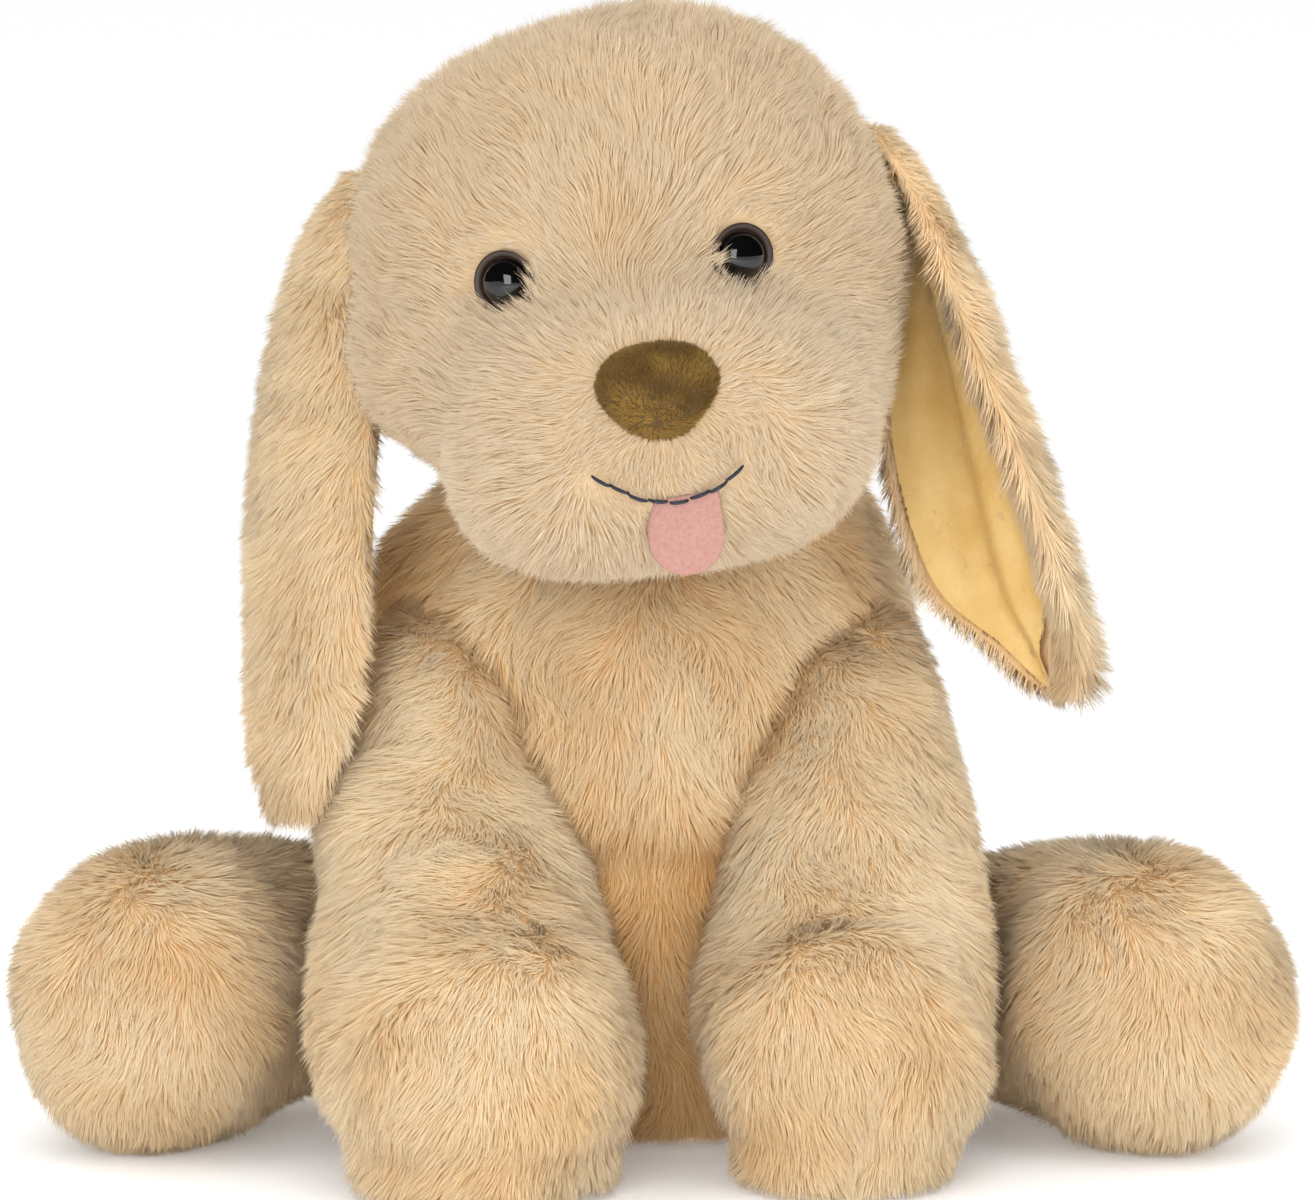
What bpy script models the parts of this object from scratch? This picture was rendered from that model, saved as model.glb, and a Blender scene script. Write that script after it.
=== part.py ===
"""Seated plush dog: sewn fur covers over loose fibre, bean bags, plastic safety eyes.

The dog faces -Y and sits on the floor plane z = 0, with its origin under the seat.
Its own left side is +X. The covers are the cloth of the skins, and the pile of the
fur stands about five millimetres proud of them. Head, ears, arms, legs and tail are
built around the centres of their sewn joints, so that each can turn in its socket.
"""

import math

import bmesh
import bpy
from mathutils import Matrix, Vector

MM = 0.001

# Cloth and sewing, in millimetres
WALL = 2.2  # cover cloth with its short, flattened pile
FILL_GAP = 4.0  # between a cover and the fibre in it
SEW_GAP = 0.7  # between two covers that are sewn together
SOLE_THICKNESS = 3.4
SIDES = 8  # corners of a soft body's cage sections

# Torso: x, y, z, half width, half depth of each section, from the seat to the neck
TORSO = (
    (0, 10, 0, 36, 34),
    (0, 10, 0, 57, 53),
    (0, 10, 9, 73, 68),
    (0, 8, 40, 80, 74),
    (0, 6, 75, 79, 72),
    (0, 4, 108, 76, 69),
    (0, 4, 140, 74, 60),
    (0, 6, 168, 62, 45),
    (0, 8, 184, 43, 31),
    (0, 9, 194, 0, 0),
)

SEAT_BAG = (0, 10, 20)
SEAT_BAG_RADII = (42, 46, 13)

# Head: two swollen balls, the skull and the muzzle
SKULL_CENTRE = Vector((-5, -38, 240))
SKULL_RADII = (71, 62, 63)
MUZZLE_CENTRE = Vector((3, -88, 198))
MUZZLE_RADII = (53, 43, 34)
HEAD_ROLL = 6.6  # degrees: the dog tilts its head to its right
NECK_PIVOT = Vector((-3, -10, 184))
NECK_RADIUS = 21
NOD_RANGE = (-16, 6)
TURN_RANGE = (-15, 15)
COLLAR_GAP = 3.4  # what the collar keeps from the skull, which it meets when the head turns and nods

# Face, as x and z on the front of the head
EYES = {"left": (24.6, 243.6), "right": (-35.2, 236.7)}
EYE_RADIUS = 7.0
EYE_HEIGHT = 5.6
IRIS_RADIUS = 8.6
STEM_RADIUS = 1.7
STEM_LENGTH = 13
WASHER_RADIUS = 8.5
WASHER_DEPTH = 6.5
NOSE = (3.6, 212.0)
NOSE_HALF = (15.5, 12.0)
NOSE_DEPTH = 9
NOSE_WALL = 1.6
MOUTH = (
    (-13.1, 190.4),
    (-5.5, 186.4),
    (2.8, 183.8),
    (11.5, 184.4),
    (19.5, 188.0),
    (26.4, 193.7),
)
MOUTH_THREAD = 0.8
TONGUE_TOP = (10.7, 186.0)
TONGUE_WIDTH = 19.3
TONGUE_LENGTH = 21
TONGUE_THICKNESS = 1.6
TONGUE_TILT = -3  # degrees from plumb with the tip ahead, so that its weight rests it on the chin

# Arms, from the shoulder down and forward to the paw, and their sewn joints
SHOULDER = Vector((55, -20, 120))
SHOULDER_RADIUS = 28.5
ARM_LIFT = 35
ARM_SPREAD = 20  # degrees by which the lift axis leans, so that a raised arm moves outward
ARMS = {
    "left": (
        (56, -10, 143, 0, 0),
        (56, -14, 136, 15, 16),
        (55, -20, 122, 25, 27),
        (55, -30, 102, 29.5, 32),
        (54.5, -42, 84, 33, 34),
        (54, -56, 64, 35, 35),
        (53.5, -70, 43, 36.5, 40),
        (52.5, -86, 33, 37.7, 42),
        (52.5, -104, 31, 34.5, 40),
        (52.5, -118, 31, 24, 29),
        (52.5, -124, 31, 0, 0),
    ),
    "right": (
        (-56, -10, 143, 0, 0),
        (-56, -14, 136, 15, 16),
        (-56, -20, 122, 25, 27),
        (-55, -31, 102, 30, 32),
        (-53, -44, 84, 33.5, 34),
        (-50, -60, 64, 36.5, 35.5),
        (-46, -78, 43, 39.5, 41),
        (-41.8, -100, 33, 42, 42),
        (-41.5, -120, 31, 38, 40),
        (-41.5, -135, 31, 26, 30),
        (-41.5, -141, 31, 0, 0),
    ),
}
ARM_FILL_SECTIONS = 6  # sections that hold fibre; the rest of the paw holds the bean bag
PAW_BAG = {"left": (52.5, -88, 38), "right": (-42, -104, 38)}
PAW_BAG_RADII = (28, 22, 26)
PAW_SECTION = 7  # the section at the middle of the paw
PAW_SLAB = (140, 190, 40)  # a block wide enough to cut the whole paw
ARMHOLE_DEPTH = 26  # from the shoulder joint inward to the opening at the sewn seam
ARMHOLE_RADII = (12, 14, 14)

# Legs, from the hip out and forward to the foot, for the dog's left side
HIP = Vector((68, 13, 39))
HIP_RADIUS = 26.5
LEG_SWING = 30
LEG_REACH = {"left": 136.4, "right": 132.0}
LEG_SECTIONS = (
    (50, 22, 39, 0, 0),
    (56, 19, 39, 14, 14),
    (68, 13, 39, 24, 25),
    (88, 4, 39, 27, 29),
    (108, -8, 39.5, 30, 33),
    (124, -24, 40, 33.5, 36.5),
    (133, -42, 40, 36, 38.5),
    (136, -58, 40, 36, 38.5),
    (136, -71, 40, 30, 32),
    (136, -80, 40, 17, 18),
    (136, -83, 40, 0, 0),
)
LEG_FILL_SECTIONS = 5
FOOT_BAG_Y = -50
FOOT_BAG_RADII = (26, 17, 28)
FOOT_BAG_INWARD = 3
FOOT_FACE_Y = -74  # the foot's front panel is sewn on here
FOOT_SECTION = 7  # the section at the middle of the foot
FOOT_SLAB = (120, 40, 120)  # a block wide enough to cut the whole foot
LEGHOLE_DEPTH = 22  # from the hip joint inward to the opening at the sewn seam
LEGHOLE_BACKWARD = 0.35
LEGHOLE_RADII = (10, 12, 12)

# Tail, and the joint at its root
TAIL_ROOT = Vector((0, 82, 44))
TAIL_RADIUS = 15.5
TAIL_SWING = 35
TAIL_HOLE = (0, 70, 48)  # the opening at the sewn seam
TAIL_HOLE_RADII = (8, 6, 8)
TAIL = (
    (0, 70, 49, 0, 0),
    (0, 73, 48, 8, 8),
    (0, 82, 44, 13.5, 13.5),
    (0, 98, 36, 13.5, 13.5),
    (0, 112, 28, 12.5, 12),
    (0, 124, 21, 8.5, 8),
    (0, 130, 17, 0, 0),
)

# Ears: x, y, z of the middle, half width and turn of each station, from root to tip.
# The turn is the angle of the ear's width from the x axis, and positive goes backward.
EARS = {
    "left": (
        (60, -26, 274, 10, -72),
        (72, -28, 258, 17, -72),
        (83, -31, 230, 23, -68),
        (91, -30, 190, 30, -50),
        (100, -30, 152, 27, -38),
        (108, -29, 134, 15, -30),
        (113, -28, 121, 6, -26),
    ),
    "right": (
        (-75, -26, 262, 11, -62),
        (-85, -30, 244, 20, -58),
        (-92, -35, 214, 26, -56),
        (-97, -40, 178, 28, -56),
        (-98, -45, 142, 28, -58),
        (-98, -51, 112, 21, -56),
        (-96, -53, 92, 9, -56),
    ),
}
EAR_FUR_THICKNESS = 4.5
EAR_LINING_THICKNESS = 1.6
EAR_LAYER_GAP = 2.0
EAR_CURL = 0.9  # radians of bend from the middle of the ear to its edge

# Seam and label on the back
SEAM_HEIGHTS = (70, 130)
SEAM_THREAD = 0.9
LABEL_PLACE = (-52, 34)  # x and z where it leaves the back seam
LABEL_SIZE = (18, 0.8, 26)

FUR = (0.72, 0.50, 0.27)
FUR_PALE = (0.74, 0.54, 0.33)
SATIN = (0.70, 0.45, 0.14)
FIBRE = (0.90, 0.90, 0.88)
LINEN = (0.80, 0.76, 0.68)
NOSE_BROWN = (0.19, 0.11, 0.03)
TONGUE_PINK = (0.78, 0.38, 0.34)
THREAD_DARK = (0.05, 0.045, 0.05)
THREAD_FUR = (0.62, 0.42, 0.22)
EYE_BLACK = (0.006, 0.006, 0.007)
IRIS_BROWN = (0.045, 0.020, 0.010)
WASHER_WHITE = (0.82, 0.82, 0.80)
LABEL_WHITE = (0.88, 0.87, 0.85)


def clear_scene():
    for obj in list(bpy.data.objects):
        bpy.data.objects.remove(obj)


def new_collection(name):
    collection = bpy.data.collections.new(name)
    bpy.context.scene.collection.children.link(collection)
    return collection


clear_scene()
DOG = new_collection("plush_dog")
CUTTERS = new_collection("plush_dog_cutters")


def material(name, colour, roughness=0.95, metallic=0.0):
    made = bpy.data.materials.new(name)
    made.use_nodes = True
    shader = made.node_tree.nodes["Principled BSDF"]
    shader.inputs["Base Color"].default_value = (*colour, 1.0)
    shader.inputs["Roughness"].default_value = roughness
    shader.inputs["Metallic"].default_value = metallic
    return made


def add_object(name, data, collection=DOG):
    obj = bpy.data.objects.new(name, data)
    collection.objects.link(obj)
    return obj


def finish(obj, colour, roughness=0.95):
    """Give a finished piece its own material and smooth shading."""
    obj.data.materials.append(material(obj.name, colour, roughness))
    if obj.type == "MESH":
        obj.data.shade_smooth()
    return obj


def as_cutter(obj):
    for collection in list(obj.users_collection):
        collection.objects.unlink(obj)
    CUTTERS.objects.link(obj)
    obj.hide_render = True
    obj.display_type = "WIRE"
    return obj


def cut(obj, *cutters):
    for cutter in cutters:
        boolean = obj.modifiers.new("cut", "BOOLEAN")
        boolean.operation = "DIFFERENCE"
        boolean.solver = "EXACT"
        boolean.object = cutter
    return obj


def keep_inside(obj, other):
    boolean = obj.modifiers.new("keep", "BOOLEAN")
    boolean.operation = "INTERSECT"
    boolean.solver = "EXACT"
    boolean.object = other
    return obj


def subdivide(obj, levels=1):
    surface = obj.modifiers.new("soften", "SUBSURF")
    surface.levels = levels
    surface.render_levels = levels
    return obj


def hollow(obj, thickness=WALL):
    """Turn a closed surface into a shell whose outer face stays where it is."""
    shell = obj.modifiers.new("wall", "SOLIDIFY")
    shell.thickness = thickness * MM
    shell.offset = -1.0
    shell.use_even_offset = True
    return obj


def loft_mesh(name, sections, grow=0.0, level=False, smooth=True):
    """A cage of elliptical sections along a spine; a section of no width is a pole.

    grow widens every section, in millimetres, and moves the poles out by as much.
    level keeps the sections horizontal. Catmull-Clark smoothing draws a ring of n
    corners in by (2 + cos(2 pi / n)) / 3, so a cage to be smoothed is wider by that much.
    """
    swell = 3.0 / (2.0 + math.cos(math.tau / SIDES)) if smooth else 1.0
    centres = [Vector(section[:3]) for section in sections]
    last = len(sections) - 1
    verts, rings = [], []
    for index, (x, y, z, half_width, half_height) in enumerate(sections):
        centre = centres[index]
        along = (centres[min(index + 1, last)] - centres[max(index - 1, 0)]).normalized()
        if half_width == 0:
            outward = (centre - centres[1 if index == 0 else last - 1]).normalized()
            rings.append([len(verts)])
            verts.append((centre + outward * grow) * MM)
            continue
        if level:
            along = Vector((0, 0, 1))
        width_axis = along.cross(Vector((0, 1, 0)) if level else Vector((0, 0, 1)))
        if width_axis.length < 0.3:
            width_axis = Vector((1, 0, 0))
        width_axis.normalize()
        height_axis = width_axis.cross(along).normalized()
        rings.append(list(range(len(verts), len(verts) + SIDES)))
        for corner in range(SIDES):
            angle = math.tau * corner / SIDES
            side = width_axis * math.cos(angle) * (half_width + grow) * swell
            rise = height_axis * math.sin(angle) * (half_height + grow) * swell
            verts.append((centre + side + rise) * MM)
    return build_cage(name, verts, rings)


def build_cage(name, verts, rings):
    """Join rings of corners with quads, close poles with fans and open ends with caps."""
    faces = []
    for ring, following in zip(rings, rings[1:]):
        for corner in range(SIDES):
            near, far = corner, (corner + 1) % SIDES
            if len(ring) == 1:
                faces.append((ring[0], following[near], following[far]))
            elif len(following) == 1:
                faces.append((ring[near], following[0], ring[far]))
            else:
                faces.append((ring[near], following[near], following[far], ring[far]))
    for end in (rings[0], rings[-1]):
        if len(end) > 1:
            faces.append(tuple(end))
    mesh = bpy.data.meshes.new(name)
    mesh.from_pydata(verts, [], faces)
    face_outward(mesh)
    return mesh


def face_outward(mesh):
    work = bmesh.new()
    work.from_mesh(mesh)
    bmesh.ops.recalc_face_normals(work, faces=work.faces)
    if work.calc_volume(signed=True) < 0:
        bmesh.ops.reverse_faces(work, faces=work.faces)
    work.to_mesh(mesh)
    work.free()


def loft(name, sections, grow=0.0, level=False):
    return subdivide(add_object(name, loft_mesh(name, sections, grow, level)))


def wad(name, sections, level=False):
    """Fibre that fills a cover: its sections without the poles, smaller by its wall and a gap."""
    rings = [section for section in sections if section[3] > 0]
    return add_object(name, loft_mesh(name, rings, -(WALL + FILL_GAP), level, smooth=False))


def room_for(name, sections):
    """A cutter that leaves room for a limb: its cage, which lies just outside its skin."""
    return add_object(name, loft_mesh(name, sections, grow=SEW_GAP))


def ball(name, centre, radii, roll=0.0, segments=20, rings=12):
    """An ellipsoid whose size is applied to its mesh."""
    mesh = bpy.data.meshes.new(name)
    work = bmesh.new()
    bmesh.ops.create_uvsphere(work, u_segments=segments, v_segments=rings, radius=1.0)
    size = Matrix.Diagonal(Vector(radii) * MM).to_4x4()
    turn = Matrix.Rotation(math.radians(-roll), 4, "Y")
    bmesh.ops.transform(work, matrix=turn @ size, verts=work.verts)
    work.to_mesh(mesh)
    work.free()
    obj = add_object(name, mesh)
    obj.location = Vector(centre) * MM
    return obj


def box(name, centre, size):
    mesh = bpy.data.meshes.new(name)
    work = bmesh.new()
    bmesh.ops.create_cube(work, size=1.0)
    bmesh.ops.scale(work, vec=Vector(size) * MM, verts=work.verts)
    work.to_mesh(mesh)
    work.free()
    obj = add_object(name, mesh)
    obj.location = Vector(centre) * MM
    return obj


def rod(name, centre, direction, radius, length, segments=20):
    mesh = bpy.data.meshes.new(name)
    work = bmesh.new()
    bmesh.ops.create_cone(
        work,
        cap_ends=True,
        segments=segments,
        radius1=radius * MM,
        radius2=radius * MM,
        depth=length * MM,
    )
    work.to_mesh(mesh)
    work.free()
    obj = add_object(name, mesh)
    obj.location = Vector(centre) * MM
    obj.rotation_euler = Vector(direction).to_track_quat("Z", "Y").to_euler()
    return obj


def joint_empty(name, place):
    empty = add_object(name, None)
    empty.location = place * MM
    return empty


def hang_on(empty, *pieces):
    """Parent pieces to a joint's empty, and leave them where they are."""
    for piece in pieces:
        piece.parent = empty
        piece.matrix_parent_inverse = Matrix.Translation(-empty.location)


def turned_copies(name, make, pivot, axis, angles):
    """Cutters: a shape at each of the angles that its joint can reach."""
    copies = []
    for number, angle in enumerate(angles):
        copy = as_cutter(make(f"{name}_{number}"))
        turn = Matrix.Rotation(math.radians(angle), 4, axis)
        move = Matrix.Translation(pivot * MM)
        copy.matrix_world = move @ turn @ move.inverted() @ Matrix.Translation(copy.location)
        copies.append(copy)
    return copies


def mirrored(sections, reach):
    """The leg's sections on one side: x is stretched beyond the hip to the wanted reach."""
    side = 1 if reach > 0 else -1
    full = LEG_SECTIONS[-1][0]
    stretch = (abs(reach) - HIP.x) / (full - HIP.x)
    made = []
    for x, y, z, half_width, half_height in sections:
        beyond = x if x <= HIP.x else HIP.x + (x - HIP.x) * stretch
        made.append((beyond * side, y, z, half_width, half_height))
    return tuple(made)


def side_sign(side):
    return 1 if side == "left" else -1


def on_side(point, side):
    return Vector((point.x * side_sign(side), point.y, point.z))


def arm_axis(side):
    lean = math.radians(ARM_SPREAD)
    return Vector((-math.cos(lean), 0, math.sin(lean) * side_sign(side)))


def leg_axis(side):
    return Vector((0, 0, side_sign(side)))


def surface_depth(x, z, centre, radii):
    """y of an ellipsoid's front at x and z, or None where the line misses it."""
    across = (x - centre.x) / radii[0]
    up = (z - centre.z) / radii[2]
    inside = 1.0 - across * across - up * up
    if inside <= 0:
        return None
    return centre.y - radii[1] * math.sqrt(inside)


def face_point(x, z, proud=0.0):
    """The front of the head at x and z: the skull's or the muzzle's, whichever is ahead."""
    depths = (
        surface_depth(x, z, SKULL_CENTRE, SKULL_RADII),
        surface_depth(x, z, MUZZLE_CENTRE, MUZZLE_RADII),
    )
    return Vector((x, min(depth for depth in depths if depth is not None) - proud, z))


# ---------------------------------------------------------------- arms


def make_arm(side):
    sections = ARMS[side]
    pivot = on_side(SHOULDER, side)
    inward = Vector((-side_sign(side), 0, 0))
    paw = Vector(sections[PAW_SECTION][:3])
    width, depth, height = PAW_SLAB
    floor_place = (paw.x, paw.y, SOLE_THICKNESS + SEW_GAP - height / 2)
    floor_cut = as_cutter(box(f"arm_{side}_floor_cut", floor_place, PAW_SLAB))
    hole_place = pivot + inward * ARMHOLE_DEPTH
    armhole = as_cutter(ball(f"arm_{side}_armhole", hole_place, ARMHOLE_RADII, segments=12, rings=8))

    cover = hollow(loft(f"arm_{side}_cover", sections))
    cut(cover, floor_cut, armhole)
    finish(cover, FUR)

    sole = loft(f"arm_{side}_sole", sections)
    slab_centre = (paw.x, paw.y, SOLE_THICKNESS / 2)
    slab = as_cutter(box(f"arm_{side}_sole_slab", slab_centre, (width, depth, SOLE_THICKNESS)))
    keep_inside(sole, slab)
    finish(sole, FUR_PALE)

    filling = wad(f"arm_{side}_stuffing", sections[2:ARM_FILL_SECTIONS])
    finish(filling, FIBRE)
    bag = ball(f"arm_{side}_bean_bag", PAW_BAG[side], PAW_BAG_RADII, segments=12, rings=8)
    finish(bag, LINEN)
    hang_on(joint_empty(f"arm_{side}_joint", pivot), cover, sole, filling, bag)


# ---------------------------------------------------------------- legs


def make_leg(side):
    sections = mirrored(LEG_SECTIONS, LEG_REACH[side] * side_sign(side))
    pivot = on_side(HIP, side)
    inward = Vector((-side_sign(side), LEGHOLE_BACKWARD, 0))
    foot = Vector(sections[FOOT_SECTION][:3])
    ahead = FOOT_SLAB[1] / 2
    face_cut = as_cutter(box(f"leg_{side}_face_cut", (foot.x, FOOT_FACE_Y - ahead, foot.z), FOOT_SLAB))
    hole_place = pivot + inward * LEGHOLE_DEPTH
    leghole = as_cutter(ball(f"leg_{side}_hole", hole_place, LEGHOLE_RADII, segments=12, rings=8))

    cover = hollow(loft(f"leg_{side}_cover", sections))
    cut(cover, face_cut, leghole)
    finish(cover, FUR)

    panel = loft(f"leg_{side}_foot_panel", sections)
    slab_place = (foot.x, FOOT_FACE_Y - SEW_GAP - ahead, foot.z)
    front = as_cutter(box(f"leg_{side}_panel_slab", slab_place, FOOT_SLAB))
    keep_inside(panel, front)
    finish(panel, FUR_PALE)

    filling = wad(f"leg_{side}_stuffing", sections[2:LEG_FILL_SECTIONS])
    finish(filling, FIBRE)
    bag_place = (foot.x - FOOT_BAG_INWARD * side_sign(side), FOOT_BAG_Y, foot.z)
    bag = ball(f"leg_{side}_bean_bag", bag_place, FOOT_BAG_RADII, segments=12, rings=8)
    finish(bag, LINEN)
    hang_on(joint_empty(f"leg_{side}_joint", pivot), cover, panel, filling, bag)


# ---------------------------------------------------------------- tail


def make_tail():
    root_hole = as_cutter(ball("tail_hole", TAIL_HOLE, TAIL_HOLE_RADII, segments=12, rings=8))
    cover = cut(hollow(loft("tail_cover", TAIL)), root_hole)
    finish(cover, FUR)
    filling = wad("tail_stuffing", TAIL[2:-2])
    finish(filling, FIBRE)
    hang_on(joint_empty("tail_joint", TAIL_ROOT), cover, filling)


# ---------------------------------------------------------------- head


def skull(name, grow=0.0, segments=20, rings=12):
    radii = [radius + grow for radius in SKULL_RADII]
    return ball(name, SKULL_CENTRE, radii, HEAD_ROLL, segments, rings)


def skull_room(name):
    """The skull with the room that it needs beside it as the head turns from side to side."""
    sideways = (NECK_PIVOT.y - SKULL_CENTRE.y) * math.sin(math.radians(TURN_RANGE[1]))
    corner = (SKULL_RADII[0] - SKULL_RADII[1]) * math.sin(math.radians(TURN_RANGE[1]))
    spare = (sideways, corner, 0)
    radii = [radius + COLLAR_GAP + extra for radius, extra in zip(SKULL_RADII, spare)]
    return ball(name, SKULL_CENTRE, radii, HEAD_ROLL)


def muzzle(name, grow=0.0):
    return ball(name, MUZZLE_CENTRE, [radius + grow for radius in MUZZLE_RADII], HEAD_ROLL, 16, 10)


def make_eye(side, head_empty):
    """A safety eye: a black dome with its stem, a brown ring, and the washer that locks it."""
    x, z = EYES[side]
    place = face_point(x, z, proud=0.6)
    outward = eye_direction(x, z)
    turn = outward.to_track_quat("Z", "Y").to_euler()

    dome_profile = [(0.0, EYE_HEIGHT)]
    for step in range(1, 5):
        angle = math.radians(90 - 22.5 * step)
        dome_profile.append((EYE_RADIUS * math.cos(angle), EYE_HEIGHT * math.sin(angle)))
    dome_profile += [(EYE_RADIUS, -0.1), (STEM_RADIUS, -0.1)]
    dome_profile += [(STEM_RADIUS, -STEM_LENGTH), (0.0, -STEM_LENGTH)]
    eye = turned(f"eye_{side}", dome_profile)
    finish(eye, EYE_BLACK, 0.06)

    inner = EYE_RADIUS + 0.4
    ring_profile = [(inner, 2.4), (IRIS_RADIUS, 1.2), (IRIS_RADIUS, -0.1), (inner, -0.1), (inner, 2.4)]
    iris = turned(f"eye_{side}_iris_ring", ring_profile)
    finish(iris, IRIS_BROWN, 0.12)

    hole = STEM_RADIUS + 0.3
    low = -WASHER_DEPTH - 1.2
    washer_profile = [
        (hole, -WASHER_DEPTH),
        (WASHER_RADIUS, -WASHER_DEPTH),
        (WASHER_RADIUS, low),
        (hole, low),
        (hole, -WASHER_DEPTH),
    ]
    washer = turned(f"eye_{side}_washer", washer_profile)
    finish(washer, WASHER_WHITE, 0.4)
    for piece in (eye, iris, washer):
        piece.location = place * MM
        piece.rotation_euler = turn
    hang_on(head_empty, eye, iris, washer)
    return place, outward


def eye_direction(x, z):
    step = 3.0
    across = face_point(x + step, z) - face_point(x - step, z)
    rise = face_point(x, z + step) - face_point(x, z - step)
    outward = rise.cross(across).normalized()
    return outward if outward.y < 0 else -outward


def turned(name, profile, steps=16):
    """A profile of radius and height turned about the local z axis."""
    closed = profile[0] == profile[-1]
    points = profile[:-1] if closed else profile
    mesh = bpy.data.meshes.new(name)
    verts = [(radius * MM, 0.0, height * MM) for radius, height in points]
    edges = [(index, index + 1) for index in range(len(points) - 1)]
    if closed:
        edges.append((len(points) - 1, 0))
    mesh.from_pydata(verts, edges, [])
    obj = add_object(name, mesh)
    screw = obj.modifiers.new("turn", "SCREW")
    screw.steps = steps
    screw.render_steps = steps
    screw.use_merge_vertices = True
    screw.merge_threshold = 0.00001
    return obj


def make_head():
    head_empty = joint_empty("head_joint", NECK_PIVOT)
    neck_hole = as_cutter(ball("head_neck_hole", NECK_PIVOT, [NECK_RADIUS + 1.5] * 3))
    muzzle_hole = as_cutter(muzzle("head_muzzle_hole", grow=SEW_GAP))
    skull_hole = as_cutter(skull("head_skull_hole"))
    cover = hollow(skull("head_cover"))
    snout = hollow(muzzle("muzzle_cover"))
    shrink = -(WALL + FILL_GAP)
    filling = skull("head_stuffing", shrink, segments=16, rings=10)
    join = filling.modifiers.new("muzzle", "BOOLEAN")
    join.operation = "UNION"
    join.solver = "EXACT"
    join.object = as_cutter(muzzle("head_stuffing_muzzle", shrink))

    for side in EYES:
        place, outward = make_eye(side, head_empty)
        stem = rod(f"eye_{side}_stem_hole", place - outward * 6, outward, STEM_RADIUS + 0.5, 14, 12)
        pocket = rod(f"eye_{side}_pocket", place - outward * 10, outward, WASHER_RADIUS + 1, 15, 16)
        cut(cover, as_cutter(stem))
        cut(filling, as_cutter(pocket))
    cut(cover, muzzle_hole, neck_hole)
    cut(snout, skull_hole)
    cut(filling, neck_hole)
    finish(cover, FUR)
    finish(snout, FUR_PALE)
    finish(filling, FIBRE)
    hang_on(head_empty, cover, snout, filling)
    make_nose(head_empty)
    make_mouth(head_empty)


def make_nose(head_empty):
    """A short-pile pad sewn on the muzzle, over a small wad of fibre."""
    x, z = NOSE
    centre = face_point(x, z) + Vector((0, 1.5, 0))
    clear = as_cutter(muzzle("nose_seat", grow=0.5))
    radii = (NOSE_HALF[0], NOSE_DEPTH, NOSE_HALF[1])
    pad = hollow(ball("nose_cover", centre, radii, HEAD_ROLL, 14, 8), NOSE_WALL)
    cut(pad, clear)
    finish(pad, NOSE_BROWN)
    inner = [radius - NOSE_WALL - SEW_GAP for radius in radii]
    filling = cut(ball("nose_wadding", centre, inner, HEAD_ROLL, 12, 6), clear)
    finish(filling, FIBRE)
    hang_on(head_empty, pad, filling)


def make_mouth(head_empty):
    """The stitched smile, and the felt tongue that hangs from it."""
    points = [face_point(x, z, proud=0.9) for x, z in MOUTH]
    thread = thread_curve("mouth_thread", points, MOUTH_THREAD)
    finish(thread, THREAD_DARK)

    x, top = TONGUE_TOP
    width, length = TONGUE_WIDTH, TONGUE_LENGTH
    tip_radius = width / 2
    outline = [(-width / 2, 0.0)]
    for step in range(0, 9):
        angle = math.radians(180 + 22.5 * step)
        down = tip_radius * math.sin(angle) - (length - tip_radius)
        outline.append((tip_radius * math.cos(angle), down))
    outline.append((width / 2, 0.0))
    curve = bpy.data.curves.new("tongue", "CURVE")
    curve.dimensions = "2D"
    curve.fill_mode = "BOTH"
    curve.extrude = TONGUE_THICKNESS / 2 * MM
    spline = curve.splines.new("POLY")
    spline.points.add(len(outline) - 1)
    for point, (across, down) in zip(spline.points, outline):
        point.co = (across * MM, down * MM, 0, 1)
    spline.use_cyclic_u = True
    tongue = add_object("tongue", curve)
    reach = width / 2
    deepest = min(face_point(x + across, top).y for across in (-reach, 0, reach))
    tongue.location = Vector((x, deepest - 1.6 - TONGUE_THICKNESS / 2, top - 1.5)) * MM
    tongue.rotation_euler = (math.radians(90 + TONGUE_TILT), 0, 0)
    finish(tongue, TONGUE_PINK)
    hang_on(head_empty, thread, tongue)


def thread_curve(name, points, thickness):
    """A round thread through points, as a polyline of short steps on a smooth curve."""
    curve = bpy.data.curves.new(name, "CURVE")
    curve.dimensions = "3D"
    curve.bevel_depth = thickness / 2 * MM
    curve.bevel_resolution = 2
    curve.use_fill_caps = True
    smooth = smooth_path(points)
    spline = curve.splines.new("POLY")
    spline.points.add(len(smooth) - 1)
    for point, place in zip(spline.points, smooth):
        point.co = (*(place * MM), 1)
    return add_object(name, curve)


def smooth_path(points, steps=2):
    """Points of a Catmull-Rom curve through the given points."""
    padded = [points[0] * 2 - points[1], *points, points[-1] * 2 - points[-2]]
    path = []
    for before, start, end, after in zip(padded, padded[1:], padded[2:], padded[3:]):
        for step in range(steps):
            t = step / steps
            path.append(
                0.5
                * (
                    start * 2
                    + (end - before) * t
                    + (before * 2 - start * 5 + end * 4 - after) * t * t
                    + (start * 3 - before - end * 3 + after) * t**3
                )
            )
    path.append(points[-1])
    return path


# ---------------------------------------------------------------- ears


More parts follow.
